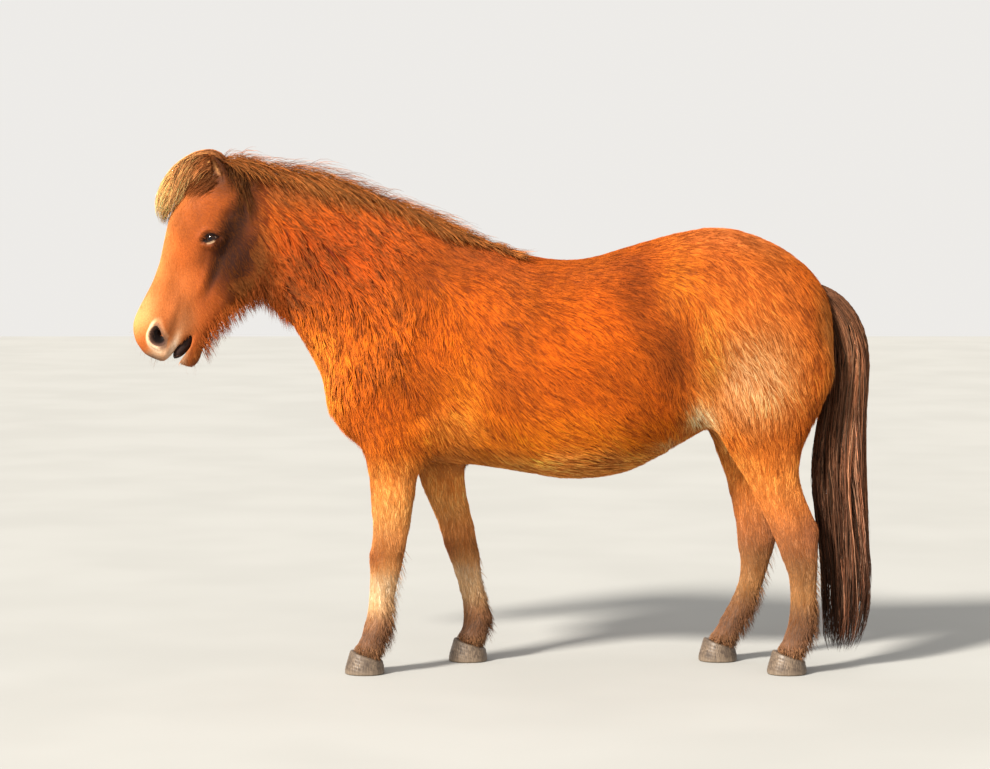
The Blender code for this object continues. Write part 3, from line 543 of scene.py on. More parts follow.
def makeSkin():
    body = makeBodySkin()
    joinSkins(body, makeHeadSkin())
    points, normals = pointsOf(body.data), normalsOf(body.data)
    putPoints(body.data, points - normals * coatDepth(points)[:, None])
    relax(body.data, 2, 0.6 * (behindNape(pointsOf(body.data)) > 0), keepSize=1.0)
    points = pointsOf(body.data)
    subdivideWhere(body, (points[:, 2] < 0.38) & (behindNape(points) > 0.02))
    for reach in (0.034, 0.027):  # finer twice around the eyes, once at the nostrils and lips
        points = pointsOf(body.data)
        chosen = np.zeros(len(points), bool)
        for side, sign in sides:
            centre, back, upward, outward = eyeFrame(side)
            away = points - centre
            chosen |= (np.hypot(away @ back, (away @ upward) * 1.15) < reach) & (away @ outward > -0.002)
            if reach > 0.03:
                chosen |= np.linalg.norm(points - nostrilPlace(sign), axis=1) < 0.040
                x, s, t = lipCorner
                lips = np.linalg.norm(points - headPoint(sign * x, s, t), axis=1) < 0.050
                chosen |= lips & (points[:, 0] * sign > 0)
        subdivideWhere(body, chosen)
        share = np.concatenate([chosen, np.ones(len(body.data.vertices) - len(chosen))])
        relax(body.data, 3, 0.8 * share, keepSize=0.9)
    sculptBody(body)
    sculptHead(body)
    points = pointsOf(body.data)
    near = np.zeros(len(points))
    for side, sign in sides:
        near = np.maximum(near, soft(points, eyeCentre[side], (0.03, 0.03, 0.03), 2.0))
        near = np.maximum(near, soft(points, nostrilPlace(sign), (0.04, 0.04, 0.04), 2.0))
    relax(body.data, 2, near * 0.8)
    print("skin faces", len(body.data.polygons), "triangles", countTriangles(body))
    return body


# markings: soft patches of colour that skin and coat share, some of them painted shade and painted light on
# hollows, folds and lit places

baseColour = (190, 80, 10)
bodyMarks = {  # place and size on the left side, mirrored; colour on a screen; strength
    "topLine": ((0.00, 0.30, 1.31), (0.05, 0.75, 0.07), (160, 72, 18), 0.7),
    "withers": ((0.10, -0.10, 1.30), (0.16, 0.20, 0.09), (150, 58, 12), 0.8),
    "loin": ((0.10, 0.45, 1.28), (0.12, 0.22, 0.10), (186, 80, 12), 0.6),
    # the paler low barrel and belly edge: partly their own colour, partly painted light bounced up from the
    # ground
    "barrelLow": ((0.22, 0.15, 0.73), (0.20, 0.50, 0.10), (240, 118, 12), 0.85),
    "bellyEdge": ((0.12, 0.20, 0.63), (0.16, 0.55, 0.06), (252, 172, 66), 0.9),
    "belly": ((0.00, 0.22, 0.59), (0.13, 0.50, 0.07), (238, 176, 108), 0.9),
    "croupTop": ((0.06, 0.74, 1.36), (0.16, 0.26, 0.10), (204, 106, 50), 0.9),
    "croup": ((0.18, 0.76, 1.16), (0.14, 0.26, 0.17), (222, 108, 34), 0.85),
    # painted highlight: a pale sheen on the thigh
    "thigh": ((0.20, 0.76, 0.92), (0.14, 0.16, 0.17), (240, 168, 108), 0.85),
    "buttock": ((0.08, 0.99, 0.98), (0.09, 0.06, 0.22), (224, 146, 78), 0.7),
    # painted shade and painted light for the trunk's relief: dark bands at the hip's front, the flank's
    # hollow and the shoulder's fold, light bands over the hip, the thigh's front and the elbow
    "hipFront": ((0.20, 0.40, 1.20), (0.20, 0.085, 0.13), (140, 52, 10), 0.8),
    "hip": ((0.20, 0.52, 1.19), (0.20, 0.070, 0.15), (226, 116, 26), 0.8),
    "flankHollow": ((0.22, 0.50, 1.03), (0.20, 0.075, 0.11), (132, 50, 10), 0.8),
    "thighFront": ((0.22, 0.62, 1.00), (0.20, 0.045, 0.14), (240, 138, 48), 0.8),
    "shoulderFold": ((0.20, -0.26, 1.15), (0.20, 0.050, 0.15), (146, 54, 10), 0.7),
    "elbowLight": ((0.20, -0.13, 0.88), (0.20, 0.070, 0.14), (236, 122, 24), 0.8),
    "rearRibs": ((0.22, 0.26, 1.00), (0.20, 0.12, 0.16), (200, 84, 8), 0.6),
    # painted shadow where the head meets the neck, partly dark hair along the jaw
    "throatLine": ((0.10, -0.66, 1.20), (0.16, 0.030, 0.10), (90, 32, 8), 0.85),
    "flank": ((0.20, 0.60, 0.770), (0.10, 0.055, 0.075), (252, 226, 180), 1.0),
    "flankFold": ((0.15, 0.545, 0.705), (0.09, 0.10, 0.030), (238, 200, 150), 0.85),
    "innerThigh": ((0.05, 0.78, 0.74), (0.07, 0.16, 0.16), (236, 184, 116), 0.9),
    "neckMiddle": ((0.12, -0.55, 1.30), (0.16, 0.27, 0.17), (156, 50, 6), 0.9),
    "neckLow": ((0.14, -0.46, 1.02), (0.18, 0.18, 0.13), (196, 84, 12), 0.8),
    "crest": ((0.02, -0.48, 1.50), (0.10, 0.46, 0.06), (130, 60, 24), 0.85),
    "shoulder": ((0.20, -0.24, 1.05), (0.13, 0.14, 0.25), (196, 84, 8), 0.7),
    "breast": ((0.04, -0.56, 0.92), (0.13, 0.12, 0.18), (244, 128, 36), 0.85),
    "elbow": ((0.18, -0.17, 0.76), (0.09, 0.10, 0.09), (230, 128, 46), 0.7),
    # painted shade in the armpit behind the elbow
    "armpit": ((0.06, -0.22, 0.66), (0.10, 0.12, 0.07), (112, 52, 18), 0.85),
}
foreColours = (  # height and colour
    (0.07, (128, 92, 68)), (0.12, (110, 80, 62)), (0.165, (144, 102, 72)), (0.21, (196, 156, 112)),
    (0.29, (196, 160, 120)), (0.335, (172, 118, 70)), (0.37, (150, 94, 50)), (0.42, (188, 120, 66)),
    (0.50, (220, 150, 80)), (0.60, (222, 134, 60)), (0.74, (222, 118, 42)),
)
hindColours = (
    (0.07, (128, 92, 68)), (0.12, (108, 78, 60)), (0.18, (112, 78, 54)), (0.24, (148, 104, 64)),
    (0.33, (148, 100, 62)), (0.38, (150, 94, 58)), (0.44, (164, 98, 56)), (0.52, (204, 118, 56)),
    (0.62, (230, 136, 58)), (0.74, (232, 140, 68)),
)
headMarks = {  # the same on the head's own axes
    "whole": ((0.05, 0.30, 0.12), (0.50, 0.60, 0.50), (172, 84, 34), 1.0),
    # painted shade: the cheek lies in shadow
    "cheek": ((0.09, 0.25, 0.20), (0.07, 0.13, 0.10), (40, 14, 3), 0.94),
    # partly dark hair, partly painted shadow behind the eye
    "behindEye": ((0.09, 0.15, 0.152), (0.06, 0.12, 0.042), (40, 18, 10), 0.95),
    # painted shadow behind the facial crest, below the eye
    "belowEye": ((0.08, 0.285, 0.148), (0.06, 0.10, 0.015), (44, 20, 10), 0.95),
    "tearLine": ((0.09, 0.265, 0.098), (0.04, 0.05, 0.014), (120, 58, 26), 0.6),
    "forehead": ((0.00, 0.17, -0.01), (0.075, 0.15, 0.085), (196, 126, 68), 0.9),
    "face": ((0.00, 0.35, -0.02), (0.060, 0.15, 0.075), (198, 132, 72), 0.95),
    "noseSide": ((0.06, 0.42, 0.07), (0.04, 0.10, 0.050), (176, 100, 52), 0.7),
    "muzzleTop": ((0.00, 0.52, 0.00), (0.065, 0.08, 0.055), (214, 162, 102), 0.95),
    # painted shade in the hollow behind the nostril
    "muzzleSide": ((0.06, 0.50, 0.115), (0.04, 0.075, 0.045), (124, 78, 46), 0.85),
    "upperLip": ((0.03, 0.605, 0.080), (0.06, 0.045, 0.035), (190, 156, 124), 0.9),
    "lipEdge": ((0.03, 0.580, 0.116), (0.07, 0.06, 0.014), (214, 190, 164), 0.85),
    "lipFront": ((0.00, 0.632, 0.070), (0.05, 0.022, 0.035), (112, 86, 72), 0.85),
    "lowerLip": ((0.00, 0.600, 0.158), (0.07, 0.05, 0.016), (168, 138, 112), 0.8),
    "chin": ((0.00, 0.585, 0.200), (0.07, 0.07, 0.028), (120, 62, 28), 0.85),
    "jaw": ((0.03, 0.40, 0.270), (0.07, 0.13, 0.050), (142, 74, 30), 0.8),
    "throat": ((0.02, 0.28, 0.330), (0.08, 0.10, 0.060), (112, 54, 26), 0.7),
    # partly dark hair, partly painted shade around the ears' base
    "poll": ((0.03, 0.02, 0.060), (0.08, 0.08, 0.085), (64, 34, 19), 0.95),
}
legMarks = {  # part of the leg, offset from its middle, size, colour, strength
    "knee": ((0, -0.040, 0.000), (0.05, 0.03, 0.035), (138, 76, 42), 0.7),
    "hock": ((0, 0.050, 0.020), (0.04, 0.04, 0.060), (120, 72, 50), 0.75),
    "pastern": ((0, 0.045, 0.030), (0.04, 0.03, 0.045), (92, 62, 46), 0.8),
}


def stripe(points, rows):  # colours that change with height
    heights = [height for height, colour in rows]
    colours = np.array([colour for height, colour in rows], float)
    return np.stack([np.interp(points[:, 2], heights, colours[:, i]) for i in range(3)], 1)


def paint(colour, share, mark):
    colour += share[:, None] * (np.asarray(mark, float) - colour)


upperLip = ((0.507, 0.560, 0.680), (0.1555, 0.1290, 0.0950))
lowerLip = ((0.507, 0.550, 0.600, 0.680), (0.1555, 0.1650, 0.1520, 0.130))


def mouthShare(x, s, t):  # 1 inside the mouth, 0 out on the lips
    upper, lower = np.interp(s, *upperLip), np.interp(s, *lowerLip)
    inside = smoothStep(-0.0005, 0.003, np.minimum(t - upper, lower - t))
    return inside * smoothStep(0.500, 0.508, s)


def coatColour(points, lid, nostril, below, rimBack):  # screen colours of the coat at places on the skin
    colour = np.tile(np.asarray(baseColour, float), (len(points), 1))
    folded = points.copy()
    folded[:, 0] = np.abs(points[:, 0])
    for centre, radii, mark, strength in bodyMarks.values():
        paint(colour, strength * soft(folded, centre, radii, 1.4), mark)
    low = smoothStep(0.76, 0.60, points[:, 2] + 0.02 * waves(points, 0.08, 21))[:, None]
    front = (points[:, 1] < 0.25)[:, None]
    fore, hind = (colour + low * (stripe(points, rows) - colour) for rows in (foreColours, hindColours))
    colour = np.where(front, fore, hind)
    for leg in legNames:
        places = legAxis(leg)
        for part, (offset, radii, mark, strength) in legMarks.items():
            if part in places:
                paint(colour, strength * soft(points, places[part] + offset, radii, 1.4), mark)
    x, s, t = headPlaces(points)
    onHead = smoothStep(0.03, -0.05, behindNape(points))
    places = np.stack([np.abs(x), s, t], 1)
    for centre, radii, mark, strength in headMarks.values():
        paint(colour, onHead * strength * soft(places, centre, radii, 1.5), mark)
    ears = earShare(points)
    earAxis = np.interp(points[:, 2], (1.462, 1.604), (-0.848, -0.909))
    for share, mark in (
        # the ears are dark, partly their own hair and partly painted shade on their backs
        (ears, (86, 46, 26)),
        (ears * smoothStep(0.018, 0.008, points[:, 1] - earAxis), (244, 178, 112)),  # the pale front edge, a painted highlight where light catches the ear's front rim
        # a darker ring round the eye and a near-black rim at the lids: partly dark lid skin, partly painted
        # shade under the upper lid
        (smoothStep(0.016, 0.004, lid) * 0.7, (96, 50, 28)),
        # painted highlight along the lower lid's edge
        (below * 0.85, (238, 200, 160)),
        (smoothStep(0.0046, 0.0020, lid) * (1 - 0.9 * below), (30, 18, 15)),
        (smoothStep(2.1, 1.6, nostril) * (0.35 + 0.5 * rimBack), (236, 200, 166)),
        (smoothStep(1.5, 1.2, nostril) * (1 - rimBack) * 0.7, (122, 92, 76)),
        # painted shade inside the nostril's hollow, darkest deep in
        (smoothStep(1.12, 0.96, nostril), (86, 60, 50)),
        (smoothStep(0.90, 0.62, nostril), (20, 12, 11)),
        # painted shade inside the open mouth
        (mouthShare(x, s, t) * onHead, (26, 15, 13)),
    ):
        paint(colour, share, mark)
    patchy = 1 + 0.06 * waves(points, 0.12, 11) + 0.045 * waves(points, 0.035, 12)
    return np.clip(colour * patchy[:, None], 4, 252)


# how the coat lies: place, way the hair points, its length and width in millimetres; mirrored to the right

headLie = (  # on the head's axes
    ((0.02, 0.06, 0.00), (0.2, -1, 0.1), 15, 1.6), ((0.03, 0.17, -0.03), (0.3, 1, 0.1), 11, 1.4),
    ((0.015, 0.33, -0.035), (0.15, 1, 0), 9, 1.2), ((0.015, 0.47, -0.03), (0.2, 1, 0), 7, 1.0),
    ((0.06, 0.40, 0.05), (0, 0.9, 0.45), 9, 1.2), ((0.09, 0.28, 0.11), (0, 0.75, 0.65), 11, 1.4),
    ((0.09, 0.14, 0.13), (0.1, 0.3, 1), 13, 1.5), ((0.085, 0.24, 0.21), (0, 0.55, 0.83), 18, 1.8),
    ((0.06, 0.33, 0.27), (0, 0.45, 0.9), 28, 2.2), ((0.03, 0.47, 0.22), (0, 0.5, 0.85), 24, 2.0),
    ((0.02, 0.60, 0.18), (0, 0.8, 0.6), 12, 1.3), ((0.04, 0.56, 0.02), (0.1, 1, 0.1), 5, 0.8),
    ((0.03, 0.61, 0.07), (0.1, 1, 0.0), 5, 0.8), ((0.07, 0.19, 0.075), (0.2, -0.2, 1), 9, 1.2),
)
bodyLie = (
    ((0.04, -0.71, 1.13), (0, 0.62, -0.78), 26, 2.8), ((0.04, -0.62, 1.00), (0, 0.50, -0.86), 30, 3.0),
    ((0.07, -0.70, 1.50), (0.25, 0.72, -0.62), 38, 3.0), ((0.09, -0.68, 1.33), (0, 0.64, -0.77), 38, 3.0),
    ((0.11, -0.52, 1.27), (0, 0.60, -0.80), 44, 3.3), ((0.10, -0.33, 1.38), (0.15, 0.72, -0.68), 38, 3.2),
    ((0.13, -0.48, 1.05), (0, 0.35, -0.94), 44, 3.3), ((0.08, -0.57, 0.92), (0.15, 0.08, -1), 42, 3.3),
    ((0.07, -0.50, 0.74), (0, 0.25, -1), 36, 3.0), ((0.20, -0.28, 1.08), (0, 0.28, -0.96), 34, 2.9),
    ((0.10, -0.10, 1.28), (0.35, 0.75, -0.55), 30, 2.8), ((0.18, -0.15, 0.76), (0, 0.55, -0.84), 34, 2.9),
    ((0.23, 0.05, 1.00), (0, 0.72, -0.70), 30, 2.7), ((0.25, 0.30, 0.95), (0, 0.78, -0.62), 30, 2.7),
    ((0.20, 0.25, 0.70), (0, 0.85, -0.50), 36, 2.9), ((0.05, 0.20, 0.60), (0, 1, -0.1), 42, 3.2),
    ((0.06, 0.20, 1.27), (0.30, 0.95, -0.05), 26, 2.5), ((0.08, 0.48, 1.33), (0.30, 0.92, -0.15), 26, 2.5),
    ((0.20, 0.55, 0.92), (0, 0.45, -0.90), 34, 2.8), ((0.07, 0.75, 1.36), (0.35, 0.90, -0.20), 24, 2.4),
    ((0.20, 0.72, 1.18), (0.1, 0.60, -0.78), 26, 2.5), ((0.10, 0.94, 1.18), (0.12, 0.45, -0.88), 28, 2.6),
    ((0.20, 0.80, 0.95), (0, 0.40, -0.92), 30, 2.7), ((0.12, 0.96, 0.90), (0.05, 0.25, -0.97), 34, 2.8),
    ((0.18, 0.70, 0.75), (0, 0.30, -0.95), 26, 2.6), ((0.05, 0.75, 0.72), (0, 0.2, -1), 22, 2.2),
)
earLie = {"way": (0.22, -0.42, 0.95), "size": (13, 1.3)}


def lieTable():
    rows = [(headPoint(*place), headWay(*lie), length, width) for place, lie, length, width in headLie]
    rows += [(np.array(place), lie, length, width) for place, lie, length, width in bodyLie]
    mirror = np.array([-1, 1, 1])
    rows += [(place * mirror, np.asarray(lie) * mirror, length, width) for place, lie, length, width in rows]
    for leg in legNames:
        upper, joint = ("forearm", "knee") if leg.startswith("fore") else ("gaskin", "hock")
        places = legAxis(leg)
        rows.append((boxMiddle(f"{upper}_{leg}"), (0, 0.12, -1), 20, 2.1))
        rows.append((places[joint], (0, 0.08, -1), 14, 1.7))
        rows.append((places["cannon"], (0, 0.10, -1), 14, 1.6))
        rows.append((places["pastern"], (0, -0.25, -1), 17, 1.8))
    return rows


def layCoat(points, normals):  # the way, length and width of the hair at each place on the skin
    way, size, total = np.zeros_like(points), np.zeros((len(points), 2)), np.zeros(len(points))
    for place, lie, length, width in lieTable():
        distance = np.linalg.norm(points - place, axis=1)
        weight = 1 / (distance + 0.012) ** 4
        way += weight[:, None] * unit(lie)
        size += weight[:, None] * (length, width)
        total += weight
    way, size = way / total[:, None], size / total[:, None]
    ears = earShare(points)
    earWay = unit(earLie["way"]) * np.stack([np.sign(points[:, 0]), *np.ones((2, len(points)))], 1)
    way = way * (1 - ears[:, None]) + earWay * ears[:, None]
    size = size * (1 - ears[:, None]) + np.array(earLie["size"]) * ears[:, None]
    way = unit(layAlong(way, normals))
    across = np.cross(normals, way)
    turn = (0.16 * waves(points, 0.10, 31) + 0.10 * waves(points, 0.04, 32))[:, None]
    way = unit(way * np.cos(turn) + across * np.sin(turn))
    return way, size[:, 0] / 1000, size[:, 1] / 1000


# strands: closed three-sided spikes built from arrays

bakePatch = 0.003


def thinning(steps, share, power):  # a strand's width at its rings, from 1 at the root
    return 1 - share * np.linspace(0, 1, steps)[:-1] ** power


def strandMesh(name, paths, widths, over, colours, places, taper, flat=0.45, smooth=True):
    count, steps = paths.shape[:2]
    way = unit(np.gradient(paths, axis=1))
    across = unit(np.cross(way, over[:, None, :]))
    lift = np.cross(across, way)
    angles = np.radians((90, 210, 330))
    taper = np.asarray(taper, float)
    half = 0.5 * widths[:, None, None] * taper[None, : steps - 1, None]
    rings = []
    for angle in angles:
        offset = across[:, :-1] * math.cos(angle) * half + lift[:, :-1] * (math.sin(angle) * flat) * half
        rings.append(paths[:, :-1] + offset)
    verts = np.concatenate([np.stack(rings, axis=2).reshape(count, -1, 3), paths[:, -1:]], axis=1)
    each, last = verts.shape[1], (steps - 2) * 3
    quads = [(ring + a, ring + a + 3, ring + b + 3, ring + b)
        for ring in range(0, last, 3) for a, b in ((0, 1), (1, 2), (2, 0))]
    spikes = [(0, 1, 2)] + [(last + side, each - 1, last + (side + 1) % 3) for side in range(3)]
    starts = np.arange(count)[:, None, None] * each
    quadLoops = (starts + np.array(quads, int).reshape(-1, 4)[None]).reshape(-1)
    spikeLoops = (starts + np.array(spikes)[None]).reshape(-1)
    loops = np.concatenate([quadLoops, spikeLoops])
    quadCount, spikeCount = len(quadLoops) // 4, len(spikeLoops) // 3
    loopStarts = np.concatenate([np.arange(quadCount) * 4, len(quadLoops) + np.arange(spikeCount) * 3])
    mesh = bpy.data.meshes.new(name)
    mesh.vertices.add(count * each)
    mesh.vertices.foreach_set("co", verts.astype(np.float32).ravel())
    mesh.loops.add(len(loops))
    mesh.loops.foreach_set("vertex_index", loops.astype(np.int32))
    mesh.polygons.add(quadCount + spikeCount)
    mesh.polygons.foreach_set("loop_start", loopStarts.astype(np.int32))
    mesh.polygons.foreach_set("use_smooth", np.full(quadCount + spikeCount, smooth))
    mesh.update(calc_edges=True)
    tint = np.repeat(colours[:, : steps - 1], 3, axis=1)
    putColours(mesh, np.concatenate([tint, colours[:, -1:]], axis=1).reshape(-1, 3))
    reach = np.linspace(-0.5, 0.5, steps)
    spots = [(math.cos(angle) * 0.5 * taper[ring], reach[ring] * 0.9 + 0.05 * math.sin(angle))
        for ring in range(steps - 1) for angle in angles] + [(0.0, 0.5)]
    spots = places[:, None] + bakePatch * np.array(spots)[None]
    uv = mesh.uv_layers.new(name="OFBake")
    uv.data.foreach_set("uv", spots.reshape(-1, 2)[loops].astype(np.float32).ravel())
    made = bpy.data.objects.new(name, mesh)
    bpy.context.scene.collection.objects.link(made)
    print(name, "strands", count, "triangles", countTriangles(made))
    return made


def unwrapSkin(skin):
    skin.data.uv_layers.new(name="OFBake")
    unwrap = {"angle_limit": math.radians(70), "island_margin": 0.002}
    editMesh(skin, selectEverything, (bpy.ops.uv.smart_project, unwrap))


def readSkin(skin):  # what the tufts need to know of the skin, at its corners
    mesh = skin.data
    points, normals = pointsOf(mesh), normalsOf(mesh)
    lid, nostril = np.full((2, len(points)), 9.0)
    rimBack, below = np.zeros((2, len(points)))  # the nostril's pale rear rim and the lower lid's edge, pale with a painted highlight
    for side, sign in sides:
        gap, u, v, near = lidGap(points, side)
        lid = np.minimum(lid, gap)
        edge = smoothStep(0.0002, 0.0012, gap) * smoothStep(0.0078, 0.0048, gap) * near
        edge = edge * smoothStep(-0.001, -0.004, v) * smoothStep(0.018, 0.010, np.abs(u + 0.001))
        below = np.maximum(below, edge)
        ring, across, near, outward = nostrilRing(points, sign)
        nostril = np.minimum(nostril, ring)
        rimBack = np.maximum(rimBack, near * smoothStep(-0.010, 0.006, across))
    way, length, width = layCoat(points, normals)
    triangles = trianglesOf(mesh)
    corners = points[triangles]
    first, second, third = corners[:, 0], corners[:, 1], corners[:, 2]
    area = 0.5 * np.linalg.norm(np.cross(second - first, third - first), axis=1)
    uv = readArray(mesh.uv_layers["OFBake"].data, "uv", np.float32, 2)[trianglesOf(mesh, "loops")]
    return {
        "points": points, "normals": normals, "lid": lid, "nostril": nostril, "way": way, "length": length,
        "width": width, "colour": coatColour(points, lid, nostril, below, rimBack), "triangles": triangles,
        "middle": corners.mean(axis=1), "area": area, "uv": uv, "depth": coatDepth(points),
        "ears": earShare(points),
    }


def plant(fields, weights, own):  # roots on the skin, one for each unit of weight
    count = int(weights.sum())
    chosen = np.searchsorted(np.cumsum(weights), own.uniform(0, weights.sum(), count))
    chosen = np.minimum(chosen, len(weights) - 1)
    a, b = own.uniform(size=(2, count))
    flip = a + b > 1
    a, b = np.where(flip, 1 - a, a), np.where(flip, 1 - b, b)
    shares = np.stack([1 - a - b, a, b], axis=1)
    corners = fields["triangles"][chosen]
    roots = {}
    for key in ("points", "normals", "way", "length", "width", "colour", "depth"):
        roots[key] = np.einsum("ij,ij...->i...", shares, fields[key][corners])
    roots["uv"] = np.einsum("ij,ijk->ik", shares, fields["uv"][chosen])
    roots["normals"], roots["way"] = unit(roots["normals"]), unit(roots["way"])
    return roots


def treeOf(places, step=1):  # finds the nearest of every step-th place
    tree = kdtree.KDTree(len(places) // step + 1)
    for i, place in enumerate(places[::step]):
        tree.insert(place, i * step)
    tree.balance()
    return tree


def gather(roots, perClump, own):  # each root's nearest lock middle, in locks that are longer than wide
    count = len(roots["points"])
    middles = own.choice(count, max(1, int(count / perClump)), replace=False)
    main = unit(roots["way"].mean(axis=0))
    places = roots["points"] - 0.80 * (roots["points"] @ main)[:, None] * main
    tree = treeOf(places[middles])
    return middles, np.fromiter((tree.find(place)[1] for place in places), int, count)


coatShape = {
    "thin": 1.18,
    "flat": 0.36,
    "lift": 1.0,
    "longLess": 0.37,
    "skinShare": 0.66,
    "brightest": 0.92,
    "rootShade": 0.66,
    "tipLight": 1.12,
    "tipPale": (244, 170, 96),
    "strandShade": 0.25,
    "turn": 0.10,
    "firstSeed": 100,
}
coatBands = (  # regions, most tufts, steps, tufts in a lock, pull, longer, rise, pale tips, lock shade
    (("neckLeft", "neckRight"), 11000, 2, 16, 0.70, 1.30, 1.0, 0.10, 0.20),
    (("shoulderLeft", "shoulderRight"), 22000, 1, 9, 0.50, 1.40, 0.60, 0.05, 0.14),
    (("belly",), 5200, 2, 12, 0.45, 1.25, 0.85, 0.08, 0.12),
    (("barrelLeft", "barrelRight"), 22000, 1, 8, 0.46, 1.40, 0.56, 0.04, 0.13),
    (("rumpLeft", "rumpRight"), 23500, 1, 8, 0.46, 1.35, 0.56, 0.06, 0.13),
    (("foreLegs", "hindLegs"), 17000, 1, 8, 0.20, 1.15, 0.40, 0.04, 0.08),
    (("jaw",), 5000, 2, 12, 0.45, 1.3, 1.1, 0.08, 0.12),
    (("faceLeft", "faceRight"), 13000, 1, 6, 0.15, 1.2, 0.45, 0.03, 0.05),
)


def coatLift(length):  # tufts keep the painted colour, but the longest are darker
    return coatShape["lift"] - coatShape["longLess"] * smoothStep(0.016, 0.027, length)


def growTufts(name, fields, weights, seed, steps, perClump, pull, longer, rise, pale, lockShade):
    own = np.random.default_rng(seed)
    roots = plant(fields, weights, own)
    count = len(roots["points"])
    middles, nearest = gather(roots, perClump, own)
    lockTurn = own.normal(size=(len(middles), 3)) * coatShape["turn"]
    lockLong = own.uniform(0.80, 1.2, len(middles))
    lockLight = own.normal(size=len(middles)) * lockShade
    lockRise = own.uniform(0.80, 1.15, len(middles))
    normals = roots["normals"]
    way = roots["way"] + lockTurn[nearest] + own.normal(size=(count, 3)) * 0.10
    way = unit(layAlong(way, normals))
    length = roots["length"] * longer * lockLong[nearest] * own.uniform(0.80, 1.12, count)
    height = roots["depth"] * rise * lockRise[nearest] * own.uniform(0.75, 1.15, count)
    height = np.minimum(height, 0.75 * length)
    lean = roots["points"][middles][nearest] - roots["points"]
    lean -= normals * np.sum(lean * normals, axis=1)[:, None] + way * np.sum(lean * way, axis=1)[:, None]
    start = roots["points"] - normals * 0.0002
    path = [start]
    for share in np.arange(1, steps) / steps:
        path.append(start + way * (length * share)[:, None] + normals * (height * share**0.62 * 1.08)[:, None]
            + lean * (pull * share**1.5))
    path.append(start + way * length[:, None] + normals * height[:, None] + lean * pull)
    strand = 0.04 + coatShape["strandShade"] * smoothStep(0.012, 0.034, roots["length"])
    shade = np.clip((1 + lockLight[nearest] + own.normal(size=count) * strand)[:, None], 0.50, 1.28)
    shade = shade ** np.array([0.80, 1.20, 1.80])  # darker locks are redder, too
    colour = linear(np.clip(roots["colour"] * shade, 2, 253)) * coatLift(roots["length"])[:, None]
    colour = np.minimum(colour, coatShape["brightest"])
    tint = []
    for share in np.linspace(0, 1, steps + 1):
        light = coatShape["rootShade"] + (coatShape["tipLight"] - coatShape["rootShade"]) * share**0.8
        step = colour * light
        tint.append(step + pale * share**2 * (linear(coatShape["tipPale"]) - step))
    widths = roots["width"] * own.uniform(0.75, 1.2, count) * coatShape["thin"]
    return strandMesh(name, np.stack(path, axis=1), widths, normals, np.stack(tint, axis=1), roots["uv"],
        thinning(steps + 1, 0.55, 1.5), coatShape["flat"], False)


def coatRegions(fields):  # the skin's triangles in each region of the coat
    middle = fields["middle"]
    m = middle + 0.03 * waves(middle, 0.05, 81)[:, None] * np.array([0, 1, 0.5])
    x, s, t = headPlaces(m)
    across, y, z = m.T
    left, head = across > 0, behindNape(middle) < 0
    legs = (z < 0.64) & ((y < 0.02) | (y > 0.60)) & ~((z > 0.585) & (np.abs(across) < 0.045))
    jaw = head & (t > 0.215 - 0.03 * smoothStep(0.4, 0.5, s)) & (s < 0.56) & (s > 0.1)
    trunk = ~head & ~legs
    neck = trunk & (y < -0.30 - 0.30 * smoothStep(1.0, 0.75, z))
    barrel = trunk & (y >= 0.08) & (y < 0.50)
    belly = barrel & (z < 0.70)
    regions = {"belly": belly, "foreLegs": legs & (y < 0.3), "hindLegs": legs & (y >= 0.3), "jaw": jaw}
    for name, zone in (("neck", neck), ("shoulder", trunk & ~neck & (y < 0.08)), ("barrel", barrel & ~belly),
            ("rump", trunk & (y >= 0.50)), ("face", head & ~jaw)):
        regions[name + "Left"], regions[name + "Right"] = zone & left, zone & ~left
    return regions


def makeCoat(fields):
    made, regions = [], coatRegions(fields)
    bare = np.minimum(smoothStep(0.0035, 0.0070, fields["lid"]), smoothStep(1.02, 1.45, fields["nostril"]))
    x, s, t = headPlaces(fields["points"])
    bare = bare * (1 - (mouthShare(x, s, t) > 0.1) * (behindNape(fields["points"]) < 0))
    bareTriangles = bare[fields["triangles"]].mean(axis=1)
    size = (0.5 * fields["length"] * fields["width"])[fields["triangles"]].mean(axis=1)
    for names, most, *settings in coatBands:
        for name in names:
            weights = regions[name] * fields["area"] / size * bareTriangles
            weights *= most / weights.sum()
            seed = coatShape["firstSeed"] + len(made)
            made.append(growTufts("coat" + name[0].upper() + name[1:], fields, weights, seed, *settings))
    return made


# long hair

crestLine = (  # y and height
    (-0.93, 1.545), (-0.900, 1.555), (-0.86, 1.561), (-0.83, 1.5615), (-0.78, 1.556), (-0.71, 1.530),
    (-0.64, 1.5165), (-0.57, 1.5006), (-0.50, 1.4812), (-0.42, 1.4565), (-0.35, 1.4335), (-0.265, 1.3984),
    (-0.20, 1.3705), (-0.13, 1.342), (-0.06, 1.3217), (0.0, 1.3034), (0.06, 1.2838),
)
crestSide = (  # y and half width
    (-0.86, 0.085), (-0.78, 0.050), (-0.71, 0.040), (-0.57, 0.037), (-0.42, 0.042), (-0.265, 0.049),
    (-0.13, 0.060), (-0.06, 0.075), (0.06, 0.100),
)
maneRows = (  # y, rise, fall on the far side and on the near side
    (-0.868, 0.080, 0.060, 0.070), (-0.76, 0.086, 0.085, 0.085), (-0.64, 0.108, 0.110, 0.088),
    (-0.50, 0.098, 0.120, 0.080), (-0.35, 0.084, 0.105, 0.062), (-0.21, 0.072, 0.080, 0.046),
    (-0.09, 0.042, 0.055, 0.034), (0.045, 0.014, 0.03, 0.02),
)
